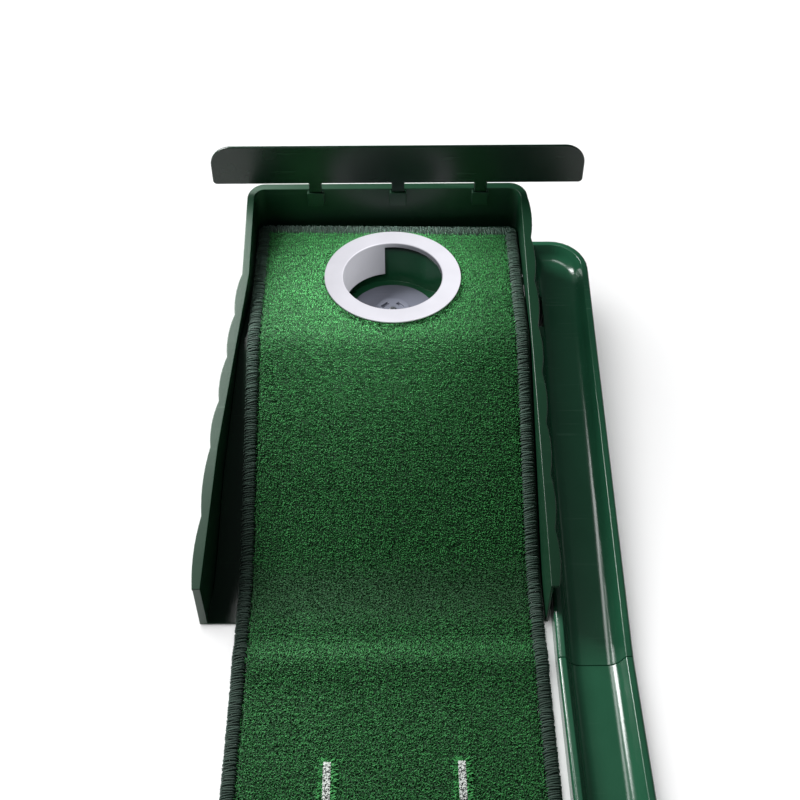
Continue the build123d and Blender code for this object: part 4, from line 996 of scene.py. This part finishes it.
stitch_tree, given, out = growing("overlock_stitches", [
    ("Stitch", "Object", None), ("Pitch", "Float", 0.0023), ("Slant", "Float", 0.16), ("Seed", "Int", 5),
    ("Material", "Material", None)])
path = add(stitch_tree, "GeometryNodeMeshToCurve", {"Mesh": given["Geometry"]})
steps = add(stitch_tree, "GeometryNodeResampleCurve", {"Curve": path.outputs[0], "Length": given["Pitch"]}, mode="LENGTH")
tangent = add(stitch_tree, "GeometryNodeInputTangent")
side = add(stitch_tree, "ShaderNodeVectorMath", {0: tangent.outputs[0], 1: (0, 0, 1)}, operation="CROSS_PRODUCT")
faced = add(stitch_tree, "FunctionNodeAlignRotationToVector", {"Vector": side.outputs[0]}, axis="X")
laid = add(stitch_tree, "FunctionNodeAlignRotationToVector", {"Rotation": faced.outputs[0], "Vector": tangent.outputs[0]}, axis="Y", pivot_axis="X")
wobble = add(stitch_tree, "FunctionNodeRandomValue", {0: (-0.08, -0.08, -0.2), 1: (0.08, 0.08, 0.2), "Seed": given["Seed"]}, data_type="FLOAT_VECTOR")
slant = add(stitch_tree, "ShaderNodeCombineXYZ", {"Z": given["Slant"]})
slanted = add(stitch_tree, "ShaderNodeVectorMath", {0: wobble.outputs[0], 1: slant.outputs[0]}, operation="ADD")
turned = add(stitch_tree, "FunctionNodeRotateRotation", {"Rotation": laid.outputs[0], "Rotate By": slanted.outputs[0]}, rotation_space="LOCAL")
sized = add(stitch_tree, "FunctionNodeRandomValue", {0: (0.95, 0.95, 0.92), 1: (1.03, 1.3, 1.04), "Seed": 8}, data_type="FLOAT_VECTOR")
row = add(stitch_tree, "GeometryNodeInstanceOnPoints", {"Points": steps.outputs[0], "Rotation": turned.outputs[0], "Scale": sized.outputs[0]})
one_stitch = add(stitch_tree, "GeometryNodeObjectInfo", {"Object": given["Stitch"]})
stitch_tree.links.new(one_stitch.outputs["Geometry"], row.inputs["Instance"])
shade = add(stitch_tree, "FunctionNodeRandomValue", {2: 0.0, 3: 1.0, "Seed": 12}, data_type="FLOAT")
shaded = add(stitch_tree, "GeometryNodeStoreNamedAttribute", {
    "Geometry": row.outputs[0], "Name": "shade", "Value": shade.outputs[1]}, data_type="FLOAT", domain="INSTANCE")
real = add(stitch_tree, "GeometryNodeRealizeInstances", {"Geometry": shaded.outputs[0]})
coated = add(stitch_tree, "GeometryNodeSetMaterial", {"Geometry": real.outputs[0], "Material": given["Material"]})
stitch_tree.links.new(coated.outputs[0], out["Geometry"])

yarn_material, tree, shader = finish_of("overlock_yarn")
place = add(tree, "ShaderNodeTexCoord").outputs["Object"]
shade = add(tree, "ShaderNodeAttribute", attribute_name="shade")
plies = add(tree, "ShaderNodeTexNoise", {"Vector": place, "Scale": 1400.0, "Detail": 2.0})
fuzz = add(tree, "ShaderNodeMath", {0: plies.outputs["Fac"], 1: 0.8, 2: shade.outputs["Fac"]}, operation="MULTIPLY_ADD")
lit = add(tree, "ShaderNodeMapRange", {"Value": fuzz.outputs[0], "From Min": 0.2, "From Max": 1.4})
dyed = add(tree, "ShaderNodeMix", {"Factor": lit.outputs["Result"], "A": (0.009, 0.028, 0.018, 1), "B": (0.026, 0.066, 0.044, 1)}, data_type="RGBA")
bump = add(tree, "ShaderNodeBump", {"Strength": 0.7, "Distance": 0.0004, "Height": plies.outputs["Fac"]})
tree.links.new(dyed.outputs["Result"], shader.inputs["Base Color"])
tree.links.new(bump.outputs["Normal"], shader.inputs["Normal"])
shader.inputs["Roughness"].default_value = 0.75
shader.inputs["Sheen Weight"].default_value = 0.3
shader.inputs["Sheen Roughness"].default_value = 0.5
shader.inputs["Sheen Tint"].default_value = (0.6, 0.75, 0.68, 1)

stitch_line = [(p.x, p.y, pile_top(p.y) - pile_height - backing_thickness + 0.0004) for p in edge_line(half_width)]
line_mesh = bpy.data.meshes.new("stitches")
line_mesh.from_pydata(stitch_line, [(i, (i + 1) % len(stitch_line)) for i in range(len(stitch_line))], [])
stitches = bpy.data.objects.new("stitches", line_mesh)
bpy.context.scene.collection.objects.link(stitches)
grow(stitches, stitch_tree, Stitch=stitch, Material=yarn_material)
edge_core.data.materials.append(yarn_material)
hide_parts("edge_binding")
for piece in (edge_core, stitches):
    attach(piece, "root")

# A small soft box close over the plateau, for the mat alone.
mat_pieces = bpy.data.collections.new("mat_pieces")
for piece in (base_cloth, *tufts, edge_core, stitches):
    mat_pieces.objects.link(piece)
lamp("plateau_box", "AREA", 0.25, (-0.04, 0.03, 0.46), (-0.005, 0.015, 0.11), size=(0.22, 0.08), receiver=mat_pieces,
     spread=math.radians(48))

low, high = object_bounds()
